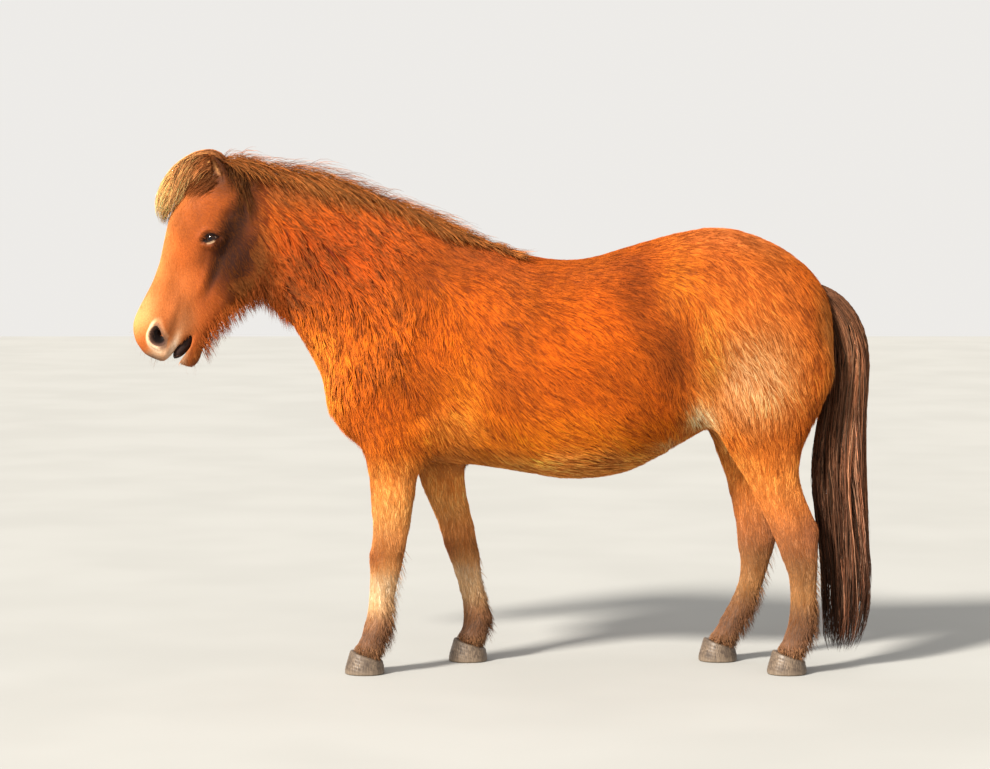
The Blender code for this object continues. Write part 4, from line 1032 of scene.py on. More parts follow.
maneShape = {
    "locks": 3500,
    "pollLocks": 560,
    "steps": 7,
    "width": 0.0031,
    "front": -0.880,
    "rear": 0.030,
    "pollRear": -0.800,
    "tuft": 0.024,
    "colours": ((78, 38, 18), (124, 68, 30), (172, 106, 52)),
}


def curveAt(rows, y, column=1):
    return np.interp(y, [row[0] for row in rows], [row[column] for row in rows])


def bezier(corners, steps):  # curves through (count, 4, 3) control points
    t = np.linspace(0, 1, steps)[None, :, None]
    a, b, c, d = (corners[:, i : i + 1] for i in range(4))
    return a * (1 - t) ** 3 + 3 * b * t * (1 - t) ** 2 + 3 * c * t**2 * (1 - t) + d * t**3


def skinPlaces(fields, points):  # the skin's place on the unwrap nearest to each point
    tree = treeOf(fields["middle"], 12)
    return fields["uv"][[tree.find(place)[1] for place in points]].mean(axis=1)


def lockColours(own, count, steps, colours, spread):  # from the root's colour over the middle's to the tip's
    t = np.linspace(0, 1, steps)
    ends = np.array(colours, float)
    tint = np.stack([np.interp(t, (0, 0.5, 1), ends[:, i]) for i in range(3)], 1)[None].repeat(count, 0)
    shade = 1 + own.normal(size=(count, 1, 1)) * spread
    red = own.uniform(-1, 1, (count, 1)) * np.array([6, -3, -5])
    return linear(np.clip(tint * shade + red[:, None], 3, 250))


def makeMane(fields):
    own = np.random.default_rng(41)
    count, steps, pollCount = maneShape["locks"], maneShape["steps"], maneShape["pollLocks"]
    y = own.uniform(maneShape["front"], maneShape["rear"], count)
    y[:pollCount] = own.uniform(maneShape["front"], maneShape["pollRear"], pollCount)
    tuft = np.round(y / maneShape["tuft"])
    wander = np.sin(tuft * 12.9898) * 0.5 + np.sin(tuft * 78.233 + 1) * 0.5
    y = 0.66 * y + 0.34 * tuft * maneShape["tuft"]
    half, rise, fall, fallNear = curveAt(crestSide, y), *(curveAt(maneRows, y, i) for i in (1, 2, 3))
    # leans to the far side below 0, to the near side above
    lean = np.clip(own.uniform(-1, 1, count) + 0.35 * wander, -1, 1)
    x0 = 0.022 * lean + own.normal(size=count) * 0.006
    root = np.stack([x0, y, curveAt(crestLine, y) - 0.006 - 14 * x0**2], 1)
    back = (0.060 + 0.026 * wander + own.normal(size=count) * 0.016) * (0.55 + 0.45 * rise / 0.07)
    top = rise * own.uniform(0.58, 1.0, count) * (1 + 0.14 * wander)
    low = fall * own.uniform(0.35, 1.0, count)
    near = fallNear * own.uniform(0.35, 1.0, count)

    def at(x, step, height):  # a place beside the crest, further back along it
        return np.stack([x * np.ones(count), y + step, curveAt(crestLine, y + step) + height], 1)

    stray = own.normal(size=count) * 0.007
    upright = np.stack([root, at(x0 * 1.2, 0.20 * back, 0.50 * top), at(x0 * 1.5, 0.75 * back, 0.98 * top),
        at(x0 * 2.0 + stray, 1.55 * back, 0.84 * top + stray)], 1)
    farSide, nearSide = (np.stack([root, at(sign * 0.014 + x0 * 0.5, 0.2 * back, 0.42 * top),
        at(sign * (0.022 + 0.75 * half), 0.75 * back, 0.22 * top - 0.15 * drop),
        at(sign * (0.012 + 0.95 * half + 0.26 * drop), 1.4 * back, 0.006 - drop + stray)], 1)
        for sign, drop in ((-1, low), (1, near)))
    share = np.abs(lean)[:, None, None] ** 0.7
    corners = upright * (1 - share) + np.where(lean[:, None, None] < 0, farSide, nearSide) * share
    # behind the ears the hair hangs down both sides of the nape
    hang = own.uniform(0.03, 0.19, count)
    flank = np.sign(lean)
    besideEar = np.stack([root, at(flank * 0.032, 0.012, 0.026),
        at(flank * 0.074, 0.020 + 0.1 * hang, -0.45 * hang),
        at(flank * (0.080 + 0.06 * hang) + stray, 0.012 + 0.25 * hang + 2 * stray, -hang)], 1)
    hanging = ((y < -0.805) & (own.uniform(size=count) < 0.55))[:, None, None]
    paths = bezier(np.where(hanging, besideEar, corners), steps)
    t = np.linspace(0, 1, steps)[None]
    paths[:, :, 1] += np.sin(t * 5 + own.uniform(0, 6, (count, 1))) * t * 0.006
    paths[:, :, 0] += np.sin(t * 4 + own.uniform(0, 6, (count, 1))) * t * 0.004
    tint = lockColours(own, count, steps, maneShape["colours"], 0.20)
    # locks hanging beside the ears are darker: partly dark hair, partly painted shade behind the ears
    tint = tint * (1 + 0.22 * wander)[:, None, None] * np.where(hanging, 0.30, 1.0)
    widths = maneShape["width"] * own.uniform(0.55, 1.2, count)
    over = unit(np.stack([lean, np.zeros(count), np.full(count, 0.7)], 1))
    return strandMesh("maneHair", paths, widths, over, np.clip(tint, 0, 1), skinPlaces(fields, root),
        thinning(steps, 0.65, 1.6))


# a hank of hair hangs along rows: outer y and z, inner y and z, half width
forelockShape = {
    "rows": (
        (-0.838, 1.572, -0.848, 1.540, 0.030), (-0.876, 1.612, -0.874, 1.540, 0.042),
        (-0.925, 1.616, -0.893, 1.520, 0.056), (-0.982, 1.592, -0.921, 1.484, 0.068),
        (-1.034, 1.546, -0.948, 1.448, 0.074), (-1.064, 1.494, -0.976, 1.425, 0.072),
        (-1.073, 1.446, -0.998, 1.404, 0.062), (-1.069, 1.412, -1.018, 1.388, 0.046),
        (-1.058, 1.380, -1.036, 1.370, 0.026),
    ),
    "count": 1900,
    "steps": 8,
    "starts": (0.0, 0.20),
    "ends": (0.42, 1.0),
    "wave": 0.24,
    "shell": 0.50,
    "clumps": 30,
    "round": 0.40,
    "fill": 1.30,
    "width": 0.0025,
    "colours": ((120, 64, 34), (234, 158, 94), (250, 190, 124)),
}
tailShape = {
    "rows": (
        (0.975, 1.200, 0.965, 1.150, 0.024), (1.030, 1.180, 0.985, 1.110, 0.034),
        (1.082, 1.134, 1.004, 1.055, 0.044), (1.120, 1.068, 1.014, 0.995, 0.054),
        (1.139, 0.988, 1.012, 0.925, 0.064), (1.133, 0.880, 0.998, 0.838, 0.068),
        (1.125, 0.760, 0.978, 0.738, 0.071), (1.127, 0.640, 0.964, 0.622, 0.073),
        (1.134, 0.515, 0.974, 0.500, 0.074), (1.141, 0.390, 0.996, 0.380, 0.074),
        (1.149, 0.255, 1.001, 0.250, 0.072), (1.144, 0.155, 1.004, 0.150, 0.064),
        (1.119, 0.082, 1.010, 0.078, 0.046), (1.098, 0.044, 1.024, 0.046, 0.024),
    ),
    "count": 2100,
    "steps": 10,
    "starts": (0.0, 0.36),
    "ends": (0.50, 1.0),
    "wave": 0.13,
    "shell": 0.55,
    "clumps": 90,
    "round": 0.75,
    "fill": 1.12,
    "width": 0.0042,
    "colours": ((106, 72, 50), (134, 92, 68), (72, 50, 40)),
    "red": (128, 72, 44),
    "top": (92, 60, 42),
}


def hankPlace(shape, share, u, v):  # a place in a hank: along its rows, across it, and from outside to inside
    rows = np.array(shape["rows"])
    last = len(rows) - 1
    fine = np.linspace(0, last, 10 * last + 1)
    row = []
    for i in range(5):
        values = np.interp(fine, np.arange(last + 1), rows[:, i])
        values = np.convolve(np.pad(values, 6, mode="reflect", reflect_type="odd"), np.ones(13) / 13, "valid")
        row.append(np.interp(share * last, fine, values))
    # the outer and inner sides draw in towards the hank's edges
    bulge = np.sqrt(np.clip(1 - u**2, 0, 1))
    depth = 0.5 + (v - 0.5) * (1 - shape["round"] + shape["round"] * bulge)
    return np.stack([u * row[4], row[0] + (row[2] - row[0]) * depth, row[1] + (row[3] - row[1]) * depth], -1)


def hankLocks(shape, own):
    count, wave, clumps = shape["count"], shape["wave"], shape["clumps"]
    u = np.clip(own.normal(size=count) * 0.55, -0.98, 0.98)
    v = own.uniform(0, 1, count)
    edge = own.uniform(size=count) < shape["shell"]
    angle = own.uniform(0, 2 * np.pi, count)
    u = np.where(edge, np.cos(angle) * 0.95, u)
    v = np.where(edge, 0.5 + 0.5 * np.sin(angle), v)
    middle = np.stack([own.uniform(-0.9, 0.9, clumps), own.uniform(0.02, 0.98, clumps)], 1)
    apart = (u[:, None] - middle[None, :, 0]) ** 2 + 2.5 * (v[:, None] - middle[None, :, 1]) ** 2
    nearest = np.argmin(apart, axis=1)
    begin = own.uniform(*shape["starts"], count)
    finish = np.maximum(begin + 0.12, own.uniform(*shape["ends"], count))
    t = np.linspace(0, 1, shape["steps"])[None]
    share = begin[:, None] + (finish - begin)[:, None] * t
    phase = own.uniform(0, 6.3, clumps)[nearest][:, None] + own.normal(size=(count, 1)) * 0.5
    pace = own.uniform(5, 10, clumps)[nearest][:, None]
    pull = 0.55 * t**1.3
    drift = own.normal(size=(2, clumps))[:, nearest, None] * 1.1 * wave * t**1.5
    uu = u[:, None] + (middle[nearest, 0] - u)[:, None] * pull + wave * np.sin(share * pace + phase) * t
    vv = v[:, None] + (middle[nearest, 1] - v)[:, None] * pull + wave * np.cos(share * pace * 0.8 + phase) * t
    uu, vv = uu + drift[0], vv + drift[1]
    uu, vv = np.clip(uu, -1, 1), np.clip(0.5 + (vv - 0.5) * shape["fill"], 0, 1)
    return hankPlace(shape, share, uu, vv), u, v, nearest


def makeForelock(fields):
    own = np.random.default_rng(43)
    shape = forelockShape
    count, steps = shape["count"], shape["steps"]
    path, u, v, nearest = hankLocks(shape, own)
    path[:, 0] -= (0, 0, 0.012)
    t = np.linspace(0, 1, steps)[None]
    path[:, :, 1] += 0.006 * t * np.sin(9 * t + own.uniform(0, 6, (count, 1)))
    tint = lockColours(own, count, steps, shape["colours"], 0.20)
    light = np.clip(1.10 + own.normal(size=shape["clumps"])[nearest][:, None, None] * 0.34, 0.45, 1.5)
    # painted shade: the forelock darkens towards its inner side, against the forehead
    dark = smoothStep(0.35, 0.85, v + 0.12 * own.normal(size=count))[:, None, None]
    tint = np.clip(tint * light * (1 - 0.80 * dark), 0, 1)
    over = unit(np.stack([u * 1.8, -0.6 * np.ones(count), np.full(count, 0.4)], 1))
    widths = shape["width"] * own.uniform(0.5, 1.2, count)
    return strandMesh("forelockHair", path, widths, over, tint, skinPlaces(fields, path[:, 0]),
        thinning(steps, 0.6, 1.5))


def makeTail(fields):
    own = np.random.default_rng(47)
    shape = tailShape
    count, steps = shape["count"], shape["steps"]
    path, u, v, nearest = hankLocks(shape, own)
    t = np.linspace(0, 1, steps)[None]
    for axis, size in ((0, 0.005), (1, 0.008)):
        turns = own.uniform(6, 13, (count, 1)) * t + own.uniform(0, 6, (count, 1))
        path[:, :, axis] += size * t * np.sin(turns)
    path[:, :, 2] = np.maximum(path[:, :, 2], 0.022)
    tint = lockColours(own, count, steps, shape["colours"], 0.26)
    clump = np.clip(1 + own.normal(size=shape["clumps"])[nearest] * 0.30, 0.35, 1.8)[:, None, None]
    height = smoothStep(0.98, 1.18, path[:, :, 2])[:, :, None]
    red = (own.uniform(size=count) < 0.24)[:, None, None]
    tint = np.where(red, 0.5 * tint + 0.5 * linear(shape["red"]), tint * clump)
    tint = tint * (1 - height) + height * linear(shape["top"]) * own.uniform(0.5, 1.3, (count, 1, 1))
    # painted shade: the tail darkens towards its inner side
    tint = tint * (1 - 0.45 * smoothStep(0.3, 0.9, v))[:, None, None]
    over = unit(np.stack([u * 1.2, 0.6 - v, np.full(count, 0.1)], 1))
    widths = shape["width"] * own.uniform(0.5, 1.2, count)
    return strandMesh("tailHair", path, widths, over, np.clip(tint, 0, 1), skinPlaces(fields, path[:, 0]),
        thinning(steps, 0.65, 1.8))


# finer hair: feathers, beard, ear hair, lashes and feelers

fineHair = {  # seed, length, width, way (none for the coat's), rise, steps, tip colour, root shade, wave
    "feathers": (51, 0.036, 0.0020, (0, 0.26, -0.95), 0.16, 3, (150, 110, 80), 0.55, 0.004),
    "coronetHair": (53, 0.019, 0.0022, (0, 0, -1), 0.42, 3, (176, 132, 92), 0.55, 0.004),
    "browHair": (55, 0.070, 0.0022, headWay(0, 0.85, -0.55), 0.16, 4, (110, 66, 38), 0.5, 0.004),
    "beard": (57, 0.048, 0.0020, (0, 0.42, -0.85), 0.16, 4, (170, 84, 38), 0.6, 0.006),
    "earHair": (59, 0.011, 0.0011, (0, -0.25, 1), 0.30, 4, (140, 86, 50), 0.4, 0.002),
    "feelers": (65, 0.022, 0.0005, None, 1.3, 4, (150, 120, 95), 0.5, 0.001),
}
beardEdge = ((0.10, 0.30, 0.375, 0.455, 0.560), (0.255, 0.265, 0.235, 0.192, 0.186))  # s and t
lashShape = {  # for each lid the number of lashes, their length, turn and bow
    "width": 0.0007,
    "upper": (60, 0.014, 0.10, 0.18),
    "lower": (24, 0.007, -0.55, -0.12),
}


def growHair(name, fields, weights):
    seed, length, width, way, rise, steps, tip, root, wave = fineHair[name]
    own = np.random.default_rng(seed)
    roots = plant(fields, weights, own)
    count = len(roots["points"])
    normals = roots["normals"]
    lie = roots["way"] if way is None else unit(way) * np.ones((count, 1))
    middles, nearest = gather(roots, 6, own)
    lie = unit(lie + own.normal(size=(len(middles), 3))[nearest] * 0.16 + own.normal(size=(count, 3)) * 0.08)
    lie = unit(lie - normals * np.minimum(0, np.sum(lie * normals, axis=1))[:, None])
    long = length * own.uniform(0.6, 1.1, count)[:, None]
    t = np.linspace(0, 1, steps)
    path = []
    for share in t:
        place = roots["points"] - normals * 0.001 + lie * long * share + normals * (rise * long * share**0.7)
        place = place + np.array([0, 0, -0.25]) * long * share**2
        bend = np.sin(6 * share + own.uniform(0, 6, count))[:, None]
        path.append(place + np.cross(normals, lie) * wave * share * bend)
    path = np.stack(path, 1)
    path[:, :, 2] = np.maximum(path[:, :, 2], 0.004)
    base = np.minimum(linear(roots["colour"]) * coatShape["lift"], coatShape["brightest"])
    end = 0.55 * base + 0.45 * linear(tip)
    tint = np.stack([base * root * (1 - share) + share * end for share in t], 1)
    tint = np.clip(tint * (1 + own.normal(size=(count, 1, 1)) * 0.12), 0, 1)
    widths = width * own.uniform(0.7, 1.2, count)
    return strandMesh(name, path, widths, normals, tint, roots["uv"], thinning(steps, 0.6, 1.5))


def hairZones(fields):  # roots to a square metre of each kind of finer hair on the skin's triangles
    middle, corners = fields["middle"], fields["triangles"]
    normals, ears = fields["normals"][corners].mean(axis=1), fields["ears"][corners].mean(axis=1)
    z, behind = middle[:, 2], behindNape(middle)
    x, s, t = headPlaces(middle)
    fetlock = smoothStep(-0.1, 0.6, normals[:, 1]) * (smoothStep(0.27, 0.20, z) * smoothStep(0.085, 0.11, z))
    cannon = smoothStep(0.42, 0.32, z) * smoothStep(0.16, 0.22, z)
    jaw = smoothStep(-0.020, 0.008, t - np.interp(s, *beardEdge)) * smoothStep(0.12, 0.22, s)
    # dark hair lies on the forehead between the forelock and the ears, its dark tint partly painted shade
    # under the forelock
    brow = smoothStep(0.092, 0.070, s + 0.25 * t) * smoothStep(-0.05, -0.02, s) * smoothStep(0.072, 0.045, t)
    fold = np.stack([np.abs(normals[:, 0]), normals[:, 1], normals[:, 2]], 1)
    inner = smoothStep(0.15, 0.7, fold @ unit(np.array([0.70, -0.70, -0.10])))
    lips = smoothStep(0.52, 0.58, s) * (z < 1.06) + 0.25 * smoothStep(0.16, 0.18, t) * (s > 0.50)
    lid = np.zeros(len(x))
    for side, sign in sides:
        lid += soft(middle, eyeCentre[side] + np.array([sign * 0.01, -0.01, -0.028]), (0.02, 0.025, 0.010))
    return {
        "feathers": fetlock * 42000 + smoothStep(0.5, 0.9, normals[:, 1]) * cannon * 9000,
        "coronetHair": smoothStep(0.100, 0.080, z) * 60000,
        "browHair": brow * ((behind < -0.02) * (ears < 0.4)) * 42000,
        "beard": jaw * smoothStep(0.56, 0.51, s) * (behind < 0.02) * 42000,
        "earHair": (ears > 0.5) * inner * 120000,
        "feelers": (behind < 0) * lips * 1500 + lid * 3000,
    }


def makeLashes(fields):
    own = np.random.default_rng(61)
    paths, overs, roots = [], [], []
    t = np.linspace(0, 1, 4)[:, None]
    for side, sign in sides:
        centre, back, upward, outward = eyeFrame(side)
        for lid in ("upper", "lower"):
            count, long, turn, bow = lashShape[lid]
            for i in range(count):
                u = eyeShape["halfWidth"] * (-0.80 + 1.66 * (i + own.uniform(-0.4, 0.4)) / count)
                upper, lower = lidEdges(np.array([u]))
                v = float(upper[0]) + 0.0012 if lid == "upper" else float(lower[0]) - 0.0012
                n = math.sqrt(max((eyeRadius + 0.003) ** 2 - u**2 - v**2, 1e-6))
                root = centre + back * u + upward * v + outward * n
                spread = 0.5 * u / eyeShape["halfWidth"] + own.normal() * 0.12
                way = unit(outward * 0.85 + upward * turn + back * spread)
                size = long * own.uniform(0.7, 1.1)
                lash = root - outward * 0.0015 + way * size * t + upward * bow * size * t**2
                paths.append(lash - upward * 0.30 * size * t * (1 - t))
                overs.append(upward)
                roots.append(root)
    tint = np.tile(linear((40, 24, 18)), (len(paths), 4, 1))
    widths = np.full(len(paths), lashShape["width"])
    return strandMesh("lashes", np.array(paths), widths, np.array(overs), tint, skinPlaces(fields, roots),
        (1, 0.8, 0.5), 0.8)


def makeFineHair(fields):
    zones = hairZones(fields)
    made = [growHair(name, fields, fields["area"] * zones[name]) for name in fineHair if name != "feelers"]
    return [*made, makeLashes(fields), growHair("feelers", fields, fields["area"] * zones["feelers"])]


# eyes and tongue

eyeParts = {
    "inset": 0.0003,
    "cornea": 0.0011,
    "corner": 0.0178,
    "drop": 0.004,
    "bead": 0.0032,
    "beadSize": (0.8, 1.3, 0.8),
    "pupilLong": 0.0082,
    "pupilHigh": 0.0040,
}
tongueShape = {"half": (0.025, 0.056, 0.0205), "place": (0, 0.553, 0.1440), "slope": 0.26, "groove": 0.004}


def addSphere(name, segments, rings, radius, place):
    bpy.ops.mesh.primitive_uv_sphere_add(segments=segments, ring_count=rings, radius=radius, location=place)
    ball = bpy.context.object
    ball.name = name
    bpy.ops.object.shade_smooth()
    return ball


def makeEyes():
    made = []
    for side, sign in sides:
        centre, back, upward, outward = eyeFrame(side)
        eye = addSphere("eyeball" + side.capitalize(), 56, 36, eyeRadius - eyeParts["inset"], centre)
        bpy.ops.object.transform_apply(location=True, rotation=True, scale=True)
        points = pointsOf(eye.data)
        way = unit(points - centre)
        angle = np.arccos(np.clip(way @ outward, -1, 1))
        putPoints(eye.data, points + way * (eyeParts["cornea"] * smoothStep(0.72, 0.45, angle))[:, None])
        reach = math.sqrt(eyeRadius**2 - eyeParts["corner"] ** 2 - eyeParts["drop"] ** 2)
        corner = centre - back * eyeParts["corner"] + outward * reach - upward * eyeParts["drop"]
        bead = addSphere("tearBead" + side.capitalize(), 18, 12, eyeParts["bead"], corner)
        bpy.ops.transform.resize(value=eyeParts["beadSize"])
        bpy.ops.object.transform_apply(location=True, rotation=True, scale=True)
        made += [eye, bead]
    print("eyes made")
    return made


def makeMouth():  # the tongue, which closes the open mouth, painted near black as the shade inside it
    tongue = addSphere("tongue", 32, 20, 1.0, (0, 0, 0))
    points = pointsOf(tongue.data)
    shape = points * tongueShape["half"]
    shape[:, 2] += tongueShape["groove"] * bell(shape[:, 0], 0.006) * (points[:, 2] < 0)
    slope = tongueShape["slope"]
    flat = headPoint(*tongueShape["place"])[None] + shape[:, :1] * (1, 0, 0)
    flat = flat + shape[:, 1:2] * headWay(0, 1, -slope)
    putPoints(tongue.data, flat + shape[:, 2:] * headWay(0, -slope, -1))
    print("tongue made")
    return tongue


# hooves

hoofShape = {
    "voxel": 0.0036,
    "growthRing": 0.0105,
    "ringDepth": 0.0005,
    "coronetDrop": 0.040,
    "soleHalf": (0.057, 0.061),
    "soleDepth": 0.007,
    "grooveDepth": 0.004,
}


def makeHoof(leg):
    node = "hoof_" + leg
    hoof = fleshCopy("horn" + "".join(word.capitalize() for word in leg.split("_")), [node])
    voxelRemesh(hoof, hoofShape["voxel"])
    relax(hoof.data, 8)
    relax(hoof.data, 2, keepSize=1.02)
    points, normals = pointsOf(hoof.data), normalsOf(hoof.data)
    low, high = map(np.array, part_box(node))
    slope = (high[2] - hoofShape["coronetDrop"]) / (high[1] - low[1])
    front = points[:, 2] + (points[:, 1] - low[1]) * slope  # follows the coronet, so the rings run with it
    wall = smoothStep(0.55, 0.20, np.abs(normals[:, 2])) * smoothStep(0.004, 0.010, points[:, 2])
    rings = np.sin(front / hoofShape["growthRing"] * 2 * np.pi + 0.8 * waves(points, 0.05, 71))
    points += normals * (wall * rings * hoofShape["ringDepth"])[:, None]
    # under the hoof: a hollow sole inside the bearing edge, and the frog with a groove on each side
    under = smoothStep(-0.6, -0.9, normals[:, 2]) * (points[:, 2] < 0.006)
    a, b = (points - boxMiddle(node)).T[:2]
    edge = np.hypot(a / hoofShape["soleHalf"][0], b / hoofShape["soleHalf"][1])
    sole = smoothStep(0.84, 0.66, edge)
    frog = smoothStep(0.017 + 0.16 * (b + 0.02) * 0.6, 0.010, np.abs(a)) * smoothStep(-0.026, 0.0, b)
    frog = frog * smoothStep(1.0, 0.86, edge)
    groove = bell(np.abs(a) - 0.008 - 0.22 * np.clip(b + 0.026, 0, 1), 0.0028) * smoothStep(-0.024, -0.010, b)
    depth = hoofShape["soleDepth"] * sole * (1 - 0.75 * frog) + hoofShape["grooveDepth"] * groove * sole
    points[:, 2] = np.maximum(points[:, 2] + under * depth, 0)
    putPoints(hoof.data, points)
    makeActive(hoof)
    bpy.ops.object.shade_smooth()
    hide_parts(node)
    print(hoof.name, "triangles", countTriangles(hoof))
    return hoof


# materials

class Socket:  # an output of a shader node, with the sums that take it further

    def __init__(self, tree, out):
        self.tree, self.out = tree, out

    def math(self, operation, *others, swap=False):
        node = self.tree.nodes.new("ShaderNodeMath")
        node.operation = operation
        values = [*others, self] if swap else [self, *others]
        for slot, value in zip(node.inputs, values):
            feed(self.tree, slot, value)
        return Socket(self.tree, node.outputs[0])

    def __add__(self, other):
        return self.math("ADD", other)

    def __sub__(self, other):
        return self.math("SUBTRACT", other)

    def __mul__(self, other):
        return self.math("MULTIPLY", other)

    def __truediv__(self, other):
        return self.math("DIVIDE", other)

    def __rsub__(self, other):
        return self.math("SUBTRACT", other, swap=True)

    __radd__, __rmul__ = __add__, __mul__


def feed(tree, slot, value):
    if isinstance(value, Socket):
        tree.links.new(value.out, slot)
    elif hasattr(slot.default_value, "__len__"):
        value = tuple(value)
        slot.default_value = value + (1.0,) if len(slot.default_value) == 4 and len(value) == 3 else value
    else:
        slot.default_value = value


class Finish:  # a material under construction

    def __init__(self, name):
        self.material = bpy.data.materials.new(name)
        self.material.use_nodes = True
        self.tree = self.material.node_tree
        self.tree.nodes.clear()
        self.output = self.tree.nodes.new("ShaderNodeOutputMaterial")
        self.surface = self.tree.nodes.new("ShaderNodeBsdfPrincipled")
        self.tree.links.new(self.surface.outputs[0], self.output.inputs[0])

    def node(self, kind, settings=None, out=0, **inputs):
        made = self.tree.nodes.new(kind)
        for name, value in (settings or {}).items():
            setattr(made, name, value)
        for name, value in inputs.items():  # n0, n1 and so on are slots by number
            numbered = name[0] == "n" and name[1:].isdigit()
            feed(self.tree, made.inputs[int(name[1:]) if numbered else name.replace("_", " ")], value)
        return Socket(self.tree, made.outputs[out])

    def place(self):
        return self.node("ShaderNodeTexCoord", out="Object")

    def vector(self, operation, *values, out=0):
        slots = {f"n{i}": value for i, value in enumerate(values)}
        return self.node("ShaderNodeVectorMath", {"operation": operation}, out, **slots)

    def noise(self, scale, detail=3.0, stretch=None, out=0):
        place = self.vector("MULTIPLY", self.place(), stretch) if stretch else self.place()
        return self.node("ShaderNodeTexNoise", {}, out, Vector=place, Scale=scale, Detail=detail)

    def ramp(self, value, low, high, start=0.0, end=1.0):
        ends = {"From_Min": low, "From_Max": high, "To_Min": start, "To_Max": end}
        return self.node("ShaderNodeMapRange", {"interpolation_type": "SMOOTHSTEP"}, Value=value, **ends)

    def grey(self, value):
        return self.node("ShaderNodeCombineColor", {}, Red=value, Green=value, Blue=value)

    def mix(self, share, a, b, kind="MIX"):
        made = self.tree.nodes.new("ShaderNodeMix")
        made.data_type, made.blend_type = "RGBA", kind
        for slot, value in ((0, share), (6, a), (7, b)):
            feed(self.tree, made.inputs[slot], value)
        return Socket(self.tree, made.outputs[2])

    def attribute(self, name):
        return self.node("ShaderNodeVertexColor", {"layer_name": name})

    def bump(self, height, strength, distance):
        return self.node("ShaderNodeBump", {}, Strength=strength, Distance=distance, Height=height)

    def set(self, **inputs):
        for name, value in inputs.items():
            feed(self.tree, self.surface.inputs[name.replace("_", " ")], value)
        return self.material

    def done(self, colour, rough, low, high, **inputs):  # roughness runs from low to high with a noise
        return self.set(Base_Color=colour, Roughness=self.ramp(rough, 0.3, 0.7, low, high), **inputs)


def coatFinish():
    finish = Finish("winterCoat")
    grain = finish.noise(420.0, 2.0)
    painted = finish.attribute("coatColour")
    colour = finish.mix(finish.ramp(grain, 0.3, 0.7, 0.0, 0.35), painted, (0.36, 0.10, 0.012))
    colour = finish.mix(0.55, colour, painted)
    return finish.done(colour, grain, 0.60, 0.76, Specular_IOR_Level=0.06)


def skinFinish():
    finish = Finish("skinUnderCoat")
    hairs = finish.noise(1.0, 3.0, (900.0, 500.0, 170.0))
    fine = finish.noise(260.0, 4.0)
    shade = finish.grey(finish.ramp(hairs, 0.3, 0.7, 0.62, 1.0))
    colour = finish.mix(1.0, finish.attribute("coatColour"), shade, "MULTIPLY")
    relief = finish.bump(hairs * 0.7 + fine * 0.5, 0.55, 0.0016)
    return finish.done(colour, fine, 0.55, 0.75, Specular_IOR_Level=0.12, Normal=relief)


def hairFinish(name, dark):
    finish = Finish(name)
    streak = finish.noise(1.0, 2.0, (700.0, 700.0, 60.0))
    colour = finish.mix(finish.ramp(streak, 0.35, 0.75, 0.0, 0.55), finish.attribute("coatColour"), dark)
    return finish.done(colour, streak, 0.62, 0.78, Specular_IOR_Level=0.04)


def eyeFinish():
    finish = Finish("wetEye")
    centre, back, upward, outward = eyeFrame("left")
    across = finish.vector("ABSOLUTE", finish.vector("MULTIPLY", finish.place(), (1, 0, 0)))
    folded = finish.vector("ADD", across, finish.vector("MULTIPLY", finish.place(), (0, 1, 1)))
    away = finish.vector("SUBTRACT", folded, tuple(centre))
    u, v = (finish.vector("DOT_PRODUCT", away, tuple(axis), out="Value") for axis in (back, upward))
    pupil = (u * (1 / eyeParts["pupilLong"])).math("POWER", 2.0)
    pupil = pupil + (v * (1 / eyeParts["pupilHigh"])).math("POWER", 2.0)
    ring = ((u * u) + (v * v)).math("SQRT")
    streaks = finish.noise(900.0, 3.0)
    iris = finish.mix(finish.ramp(streaks, 0.3, 0.7), (0.008, 0.004, 0.003), (0.028, 0.011, 0.006))
    iris = finish.mix(finish.ramp(ring, 0.0115, 0.0140), iris, (0.012, 0.007, 0.005))
    white = finish.mix(finish.ramp(finish.noise(500.0), 0.4, 0.7), (0.20, 0.12, 0.08), (0.12, 0.05, 0.03))
    colour = finish.mix(finish.ramp(ring, 0.0148, 0.0165), iris, white)
    colour = finish.mix(finish.ramp(pupil, 0.85, 1.15, 1.0, 0.0), colour, (0.004, 0.004, 0.006))
    return finish.done(colour, streaks, 0.05, 0.10, Specular_IOR_Level=0.22)


def tearFinish():
    finish = Finish("wetTearCorner")
    blotch = finish.noise(700.0)
    colour = finish.mix(finish.ramp(blotch, 0.35, 0.65), (0.10, 0.035, 0.025), (0.030, 0.014, 0.012))
    return finish.done(colour, blotch, 0.12, 0.25, Coat_Weight=0.6)


def mouthShadeFinish():
    finish = Finish("darkMouth")
    blotch = finish.noise(160.0, 4.0)
    # near-black colours: painted shade inside the mouth
    colour = finish.mix(finish.ramp(blotch, 0.35, 0.65), (0.010, 0.005, 0.004), (0.024, 0.011, 0.009))
    relief = finish.bump(blotch, 0.4, 0.001)
    return finish.done(colour, blotch, 0.60, 0.8, Specular_IOR_Level=0.15, Normal=relief)


def hornFinish():
    finish = Finish("hoofHorn")
    streak = finish.noise(1.0, 3.0, (420.0, 420.0, 14.0))
    stain = finish.noise(26.0, 4.0)
    height = finish.node("ShaderNodeSeparateXYZ", {}, "Z", Vector=finish.place())
    colour = finish.mix(finish.ramp(streak, 0.35, 0.68), (0.060, 0.040, 0.028), (0.175, 0.125, 0.085))
    colour = finish.mix(finish.ramp(stain, 0.45, 0.70, 0.0, 0.6), colour, (0.045, 0.030, 0.022))
    colour = finish.mix(finish.ramp(height, 0.022, 0.0, 0.0, 0.55), colour, (0.20, 0.150, 0.105))
    relief = finish.bump(streak * 0.5 + finish.noise(180.0, 3.0) * 0.3, 0.45, 0.0012)
    return finish.done(colour, stain, 0.42, 0.66, Specular_IOR_Level=0.4, Normal=relief)


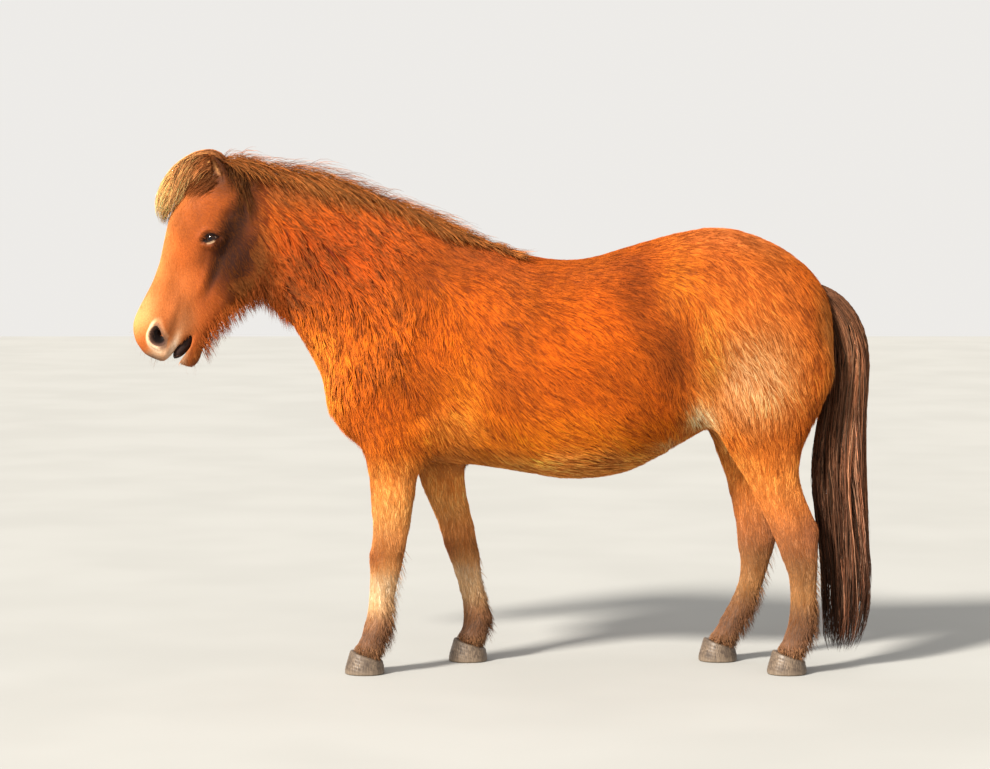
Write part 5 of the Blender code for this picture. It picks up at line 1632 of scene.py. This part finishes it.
def dress(thing, material):
    thing.data.materials.clear()
    thing.data.materials.append(material)
    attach(thing, "root")


# camera, light and floor

studio = {
    "camera": (9.0, -0.0235, 1.5),
    "tilt": -3.9117,
    "lens": 105.56,
    "sensor": 36,
    "sunPlace": (4, -4, 5),
    "sunWay": (-0.66, 0.62, -0.62),
    "sunPower": 8.2,
    "sunAngle": 9,
    "sunColour": (1.0, 0.94, 0.84),
    "fillPlace": (6.0, -2.5, 0.9),
    "fillAim": (0, 0, 0.7),
    "fillSize": 5,
    "fillPower": 260,
    "sky": (1.0, 0.98, 0.95),
    "skyPower": 0.85,
    "floorSize": 40,
    "floorDrop": -0.0005,
}


def addLight(kind, place, way, power):
    bpy.ops.object.light_add(type=kind, location=place)
    light = bpy.context.object
    light.rotation_euler = way.to_track_quat("-Z", "Y").to_euler()
    light.data.energy = power
    light.data.color = studio["sunColour"]
    return light


def makeStudio():
    tilt = math.radians(90 + studio["tilt"])
    bpy.ops.object.camera_add(location=studio["camera"], rotation=(tilt, 0, math.radians(90)))
    camera = bpy.context.object
    camera.data.lens = studio["lens"]
    camera.data.sensor_width = studio["sensor"]
    bpy.context.scene.camera = camera
    sun = addLight("SUN", studio["sunPlace"], Vector(studio["sunWay"]), studio["sunPower"])
    sun.data.angle = math.radians(studio["sunAngle"])
    fillWay = Vector(studio["fillAim"]) - Vector(studio["fillPlace"])
    fill = addLight("AREA", studio["fillPlace"], fillWay, studio["fillPower"])
    fill.data.size = studio["fillSize"]
    fill.visible_glossy = False
    world = bpy.data.worlds.new("paleStudio")
    bpy.context.scene.world = world
    world.use_nodes = True
    background = world.node_tree.nodes["Background"]
    background.inputs[0].default_value = (*studio["sky"], 1)
    background.inputs[1].default_value = studio["skyPower"]
    bpy.ops.mesh.primitive_plane_add(size=studio["floorSize"], location=(0, 0, studio["floorDrop"]))
    floor = bpy.context.object
    floor.name = "floor"
    finish = Finish("paleFloor")
    shade = finish.noise(1.2, 2.0)
    colour = finish.mix(finish.ramp(shade, 0.3, 0.7), (0.352, 0.352, 0.342), (0.372, 0.372, 0.362))
    floor.data.materials.append(finish.set(Base_Color=colour, Roughness=0.9, Specular_IOR_Level=0.0))
    bpy.context.scene.view_settings.view_transform = "Standard"
    print("studio made")


skin = makeSkin()
unwrapSkin(skin)
fields = readSkin(skin)
bare = smoothStep(0.0045, 0.0015, fields["depth"])
# the skin under the coat is darker: painted shade between the tufts
light = coatLift(fields["length"]) * coatShape["skinShare"] * (1 - bare) + bare
putColours(skin.data, np.minimum(linear(fields["colour"]) * light[:, None], coatShape["brightest"]))
skin.data.shade_smooth()
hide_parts(*fleshNodes(), "tail_dock")
print("skin coloured")

dress(skin, skinFinish())
coatLook = coatFinish()
for piece in makeCoat(fields):
    dress(piece, coatLook)
mane, forelock, tail = makeMane(fields), makeForelock(fields), makeTail(fields)
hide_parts("mane")
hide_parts("forelock")
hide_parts("tail_hair")
maneLook = hairFinish("maneHairs", (0.060, 0.028, 0.014))
dress(mane, maneLook)
dress(forelock, maneLook)
dress(tail, hairFinish("tailHairs", (0.030, 0.016, 0.010)))
for piece in makeFineHair(fields):
    dress(piece, coatLook)
eyeLook, tearLook = eyeFinish(), tearFinish()
for piece in makeEyes():
    dress(piece, eyeLook if piece.name.startswith("eyeball") else tearLook)
    if piece.name.startswith("eyeball"):
        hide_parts("eye_left" if piece.name.endswith("Left") else "eye_right")
dress(makeMouth(), mouthShadeFinish())
hornLook = hornFinish()
for leg in legNames:
    dress(makeHoof(leg), hornLook)
makeStudio()
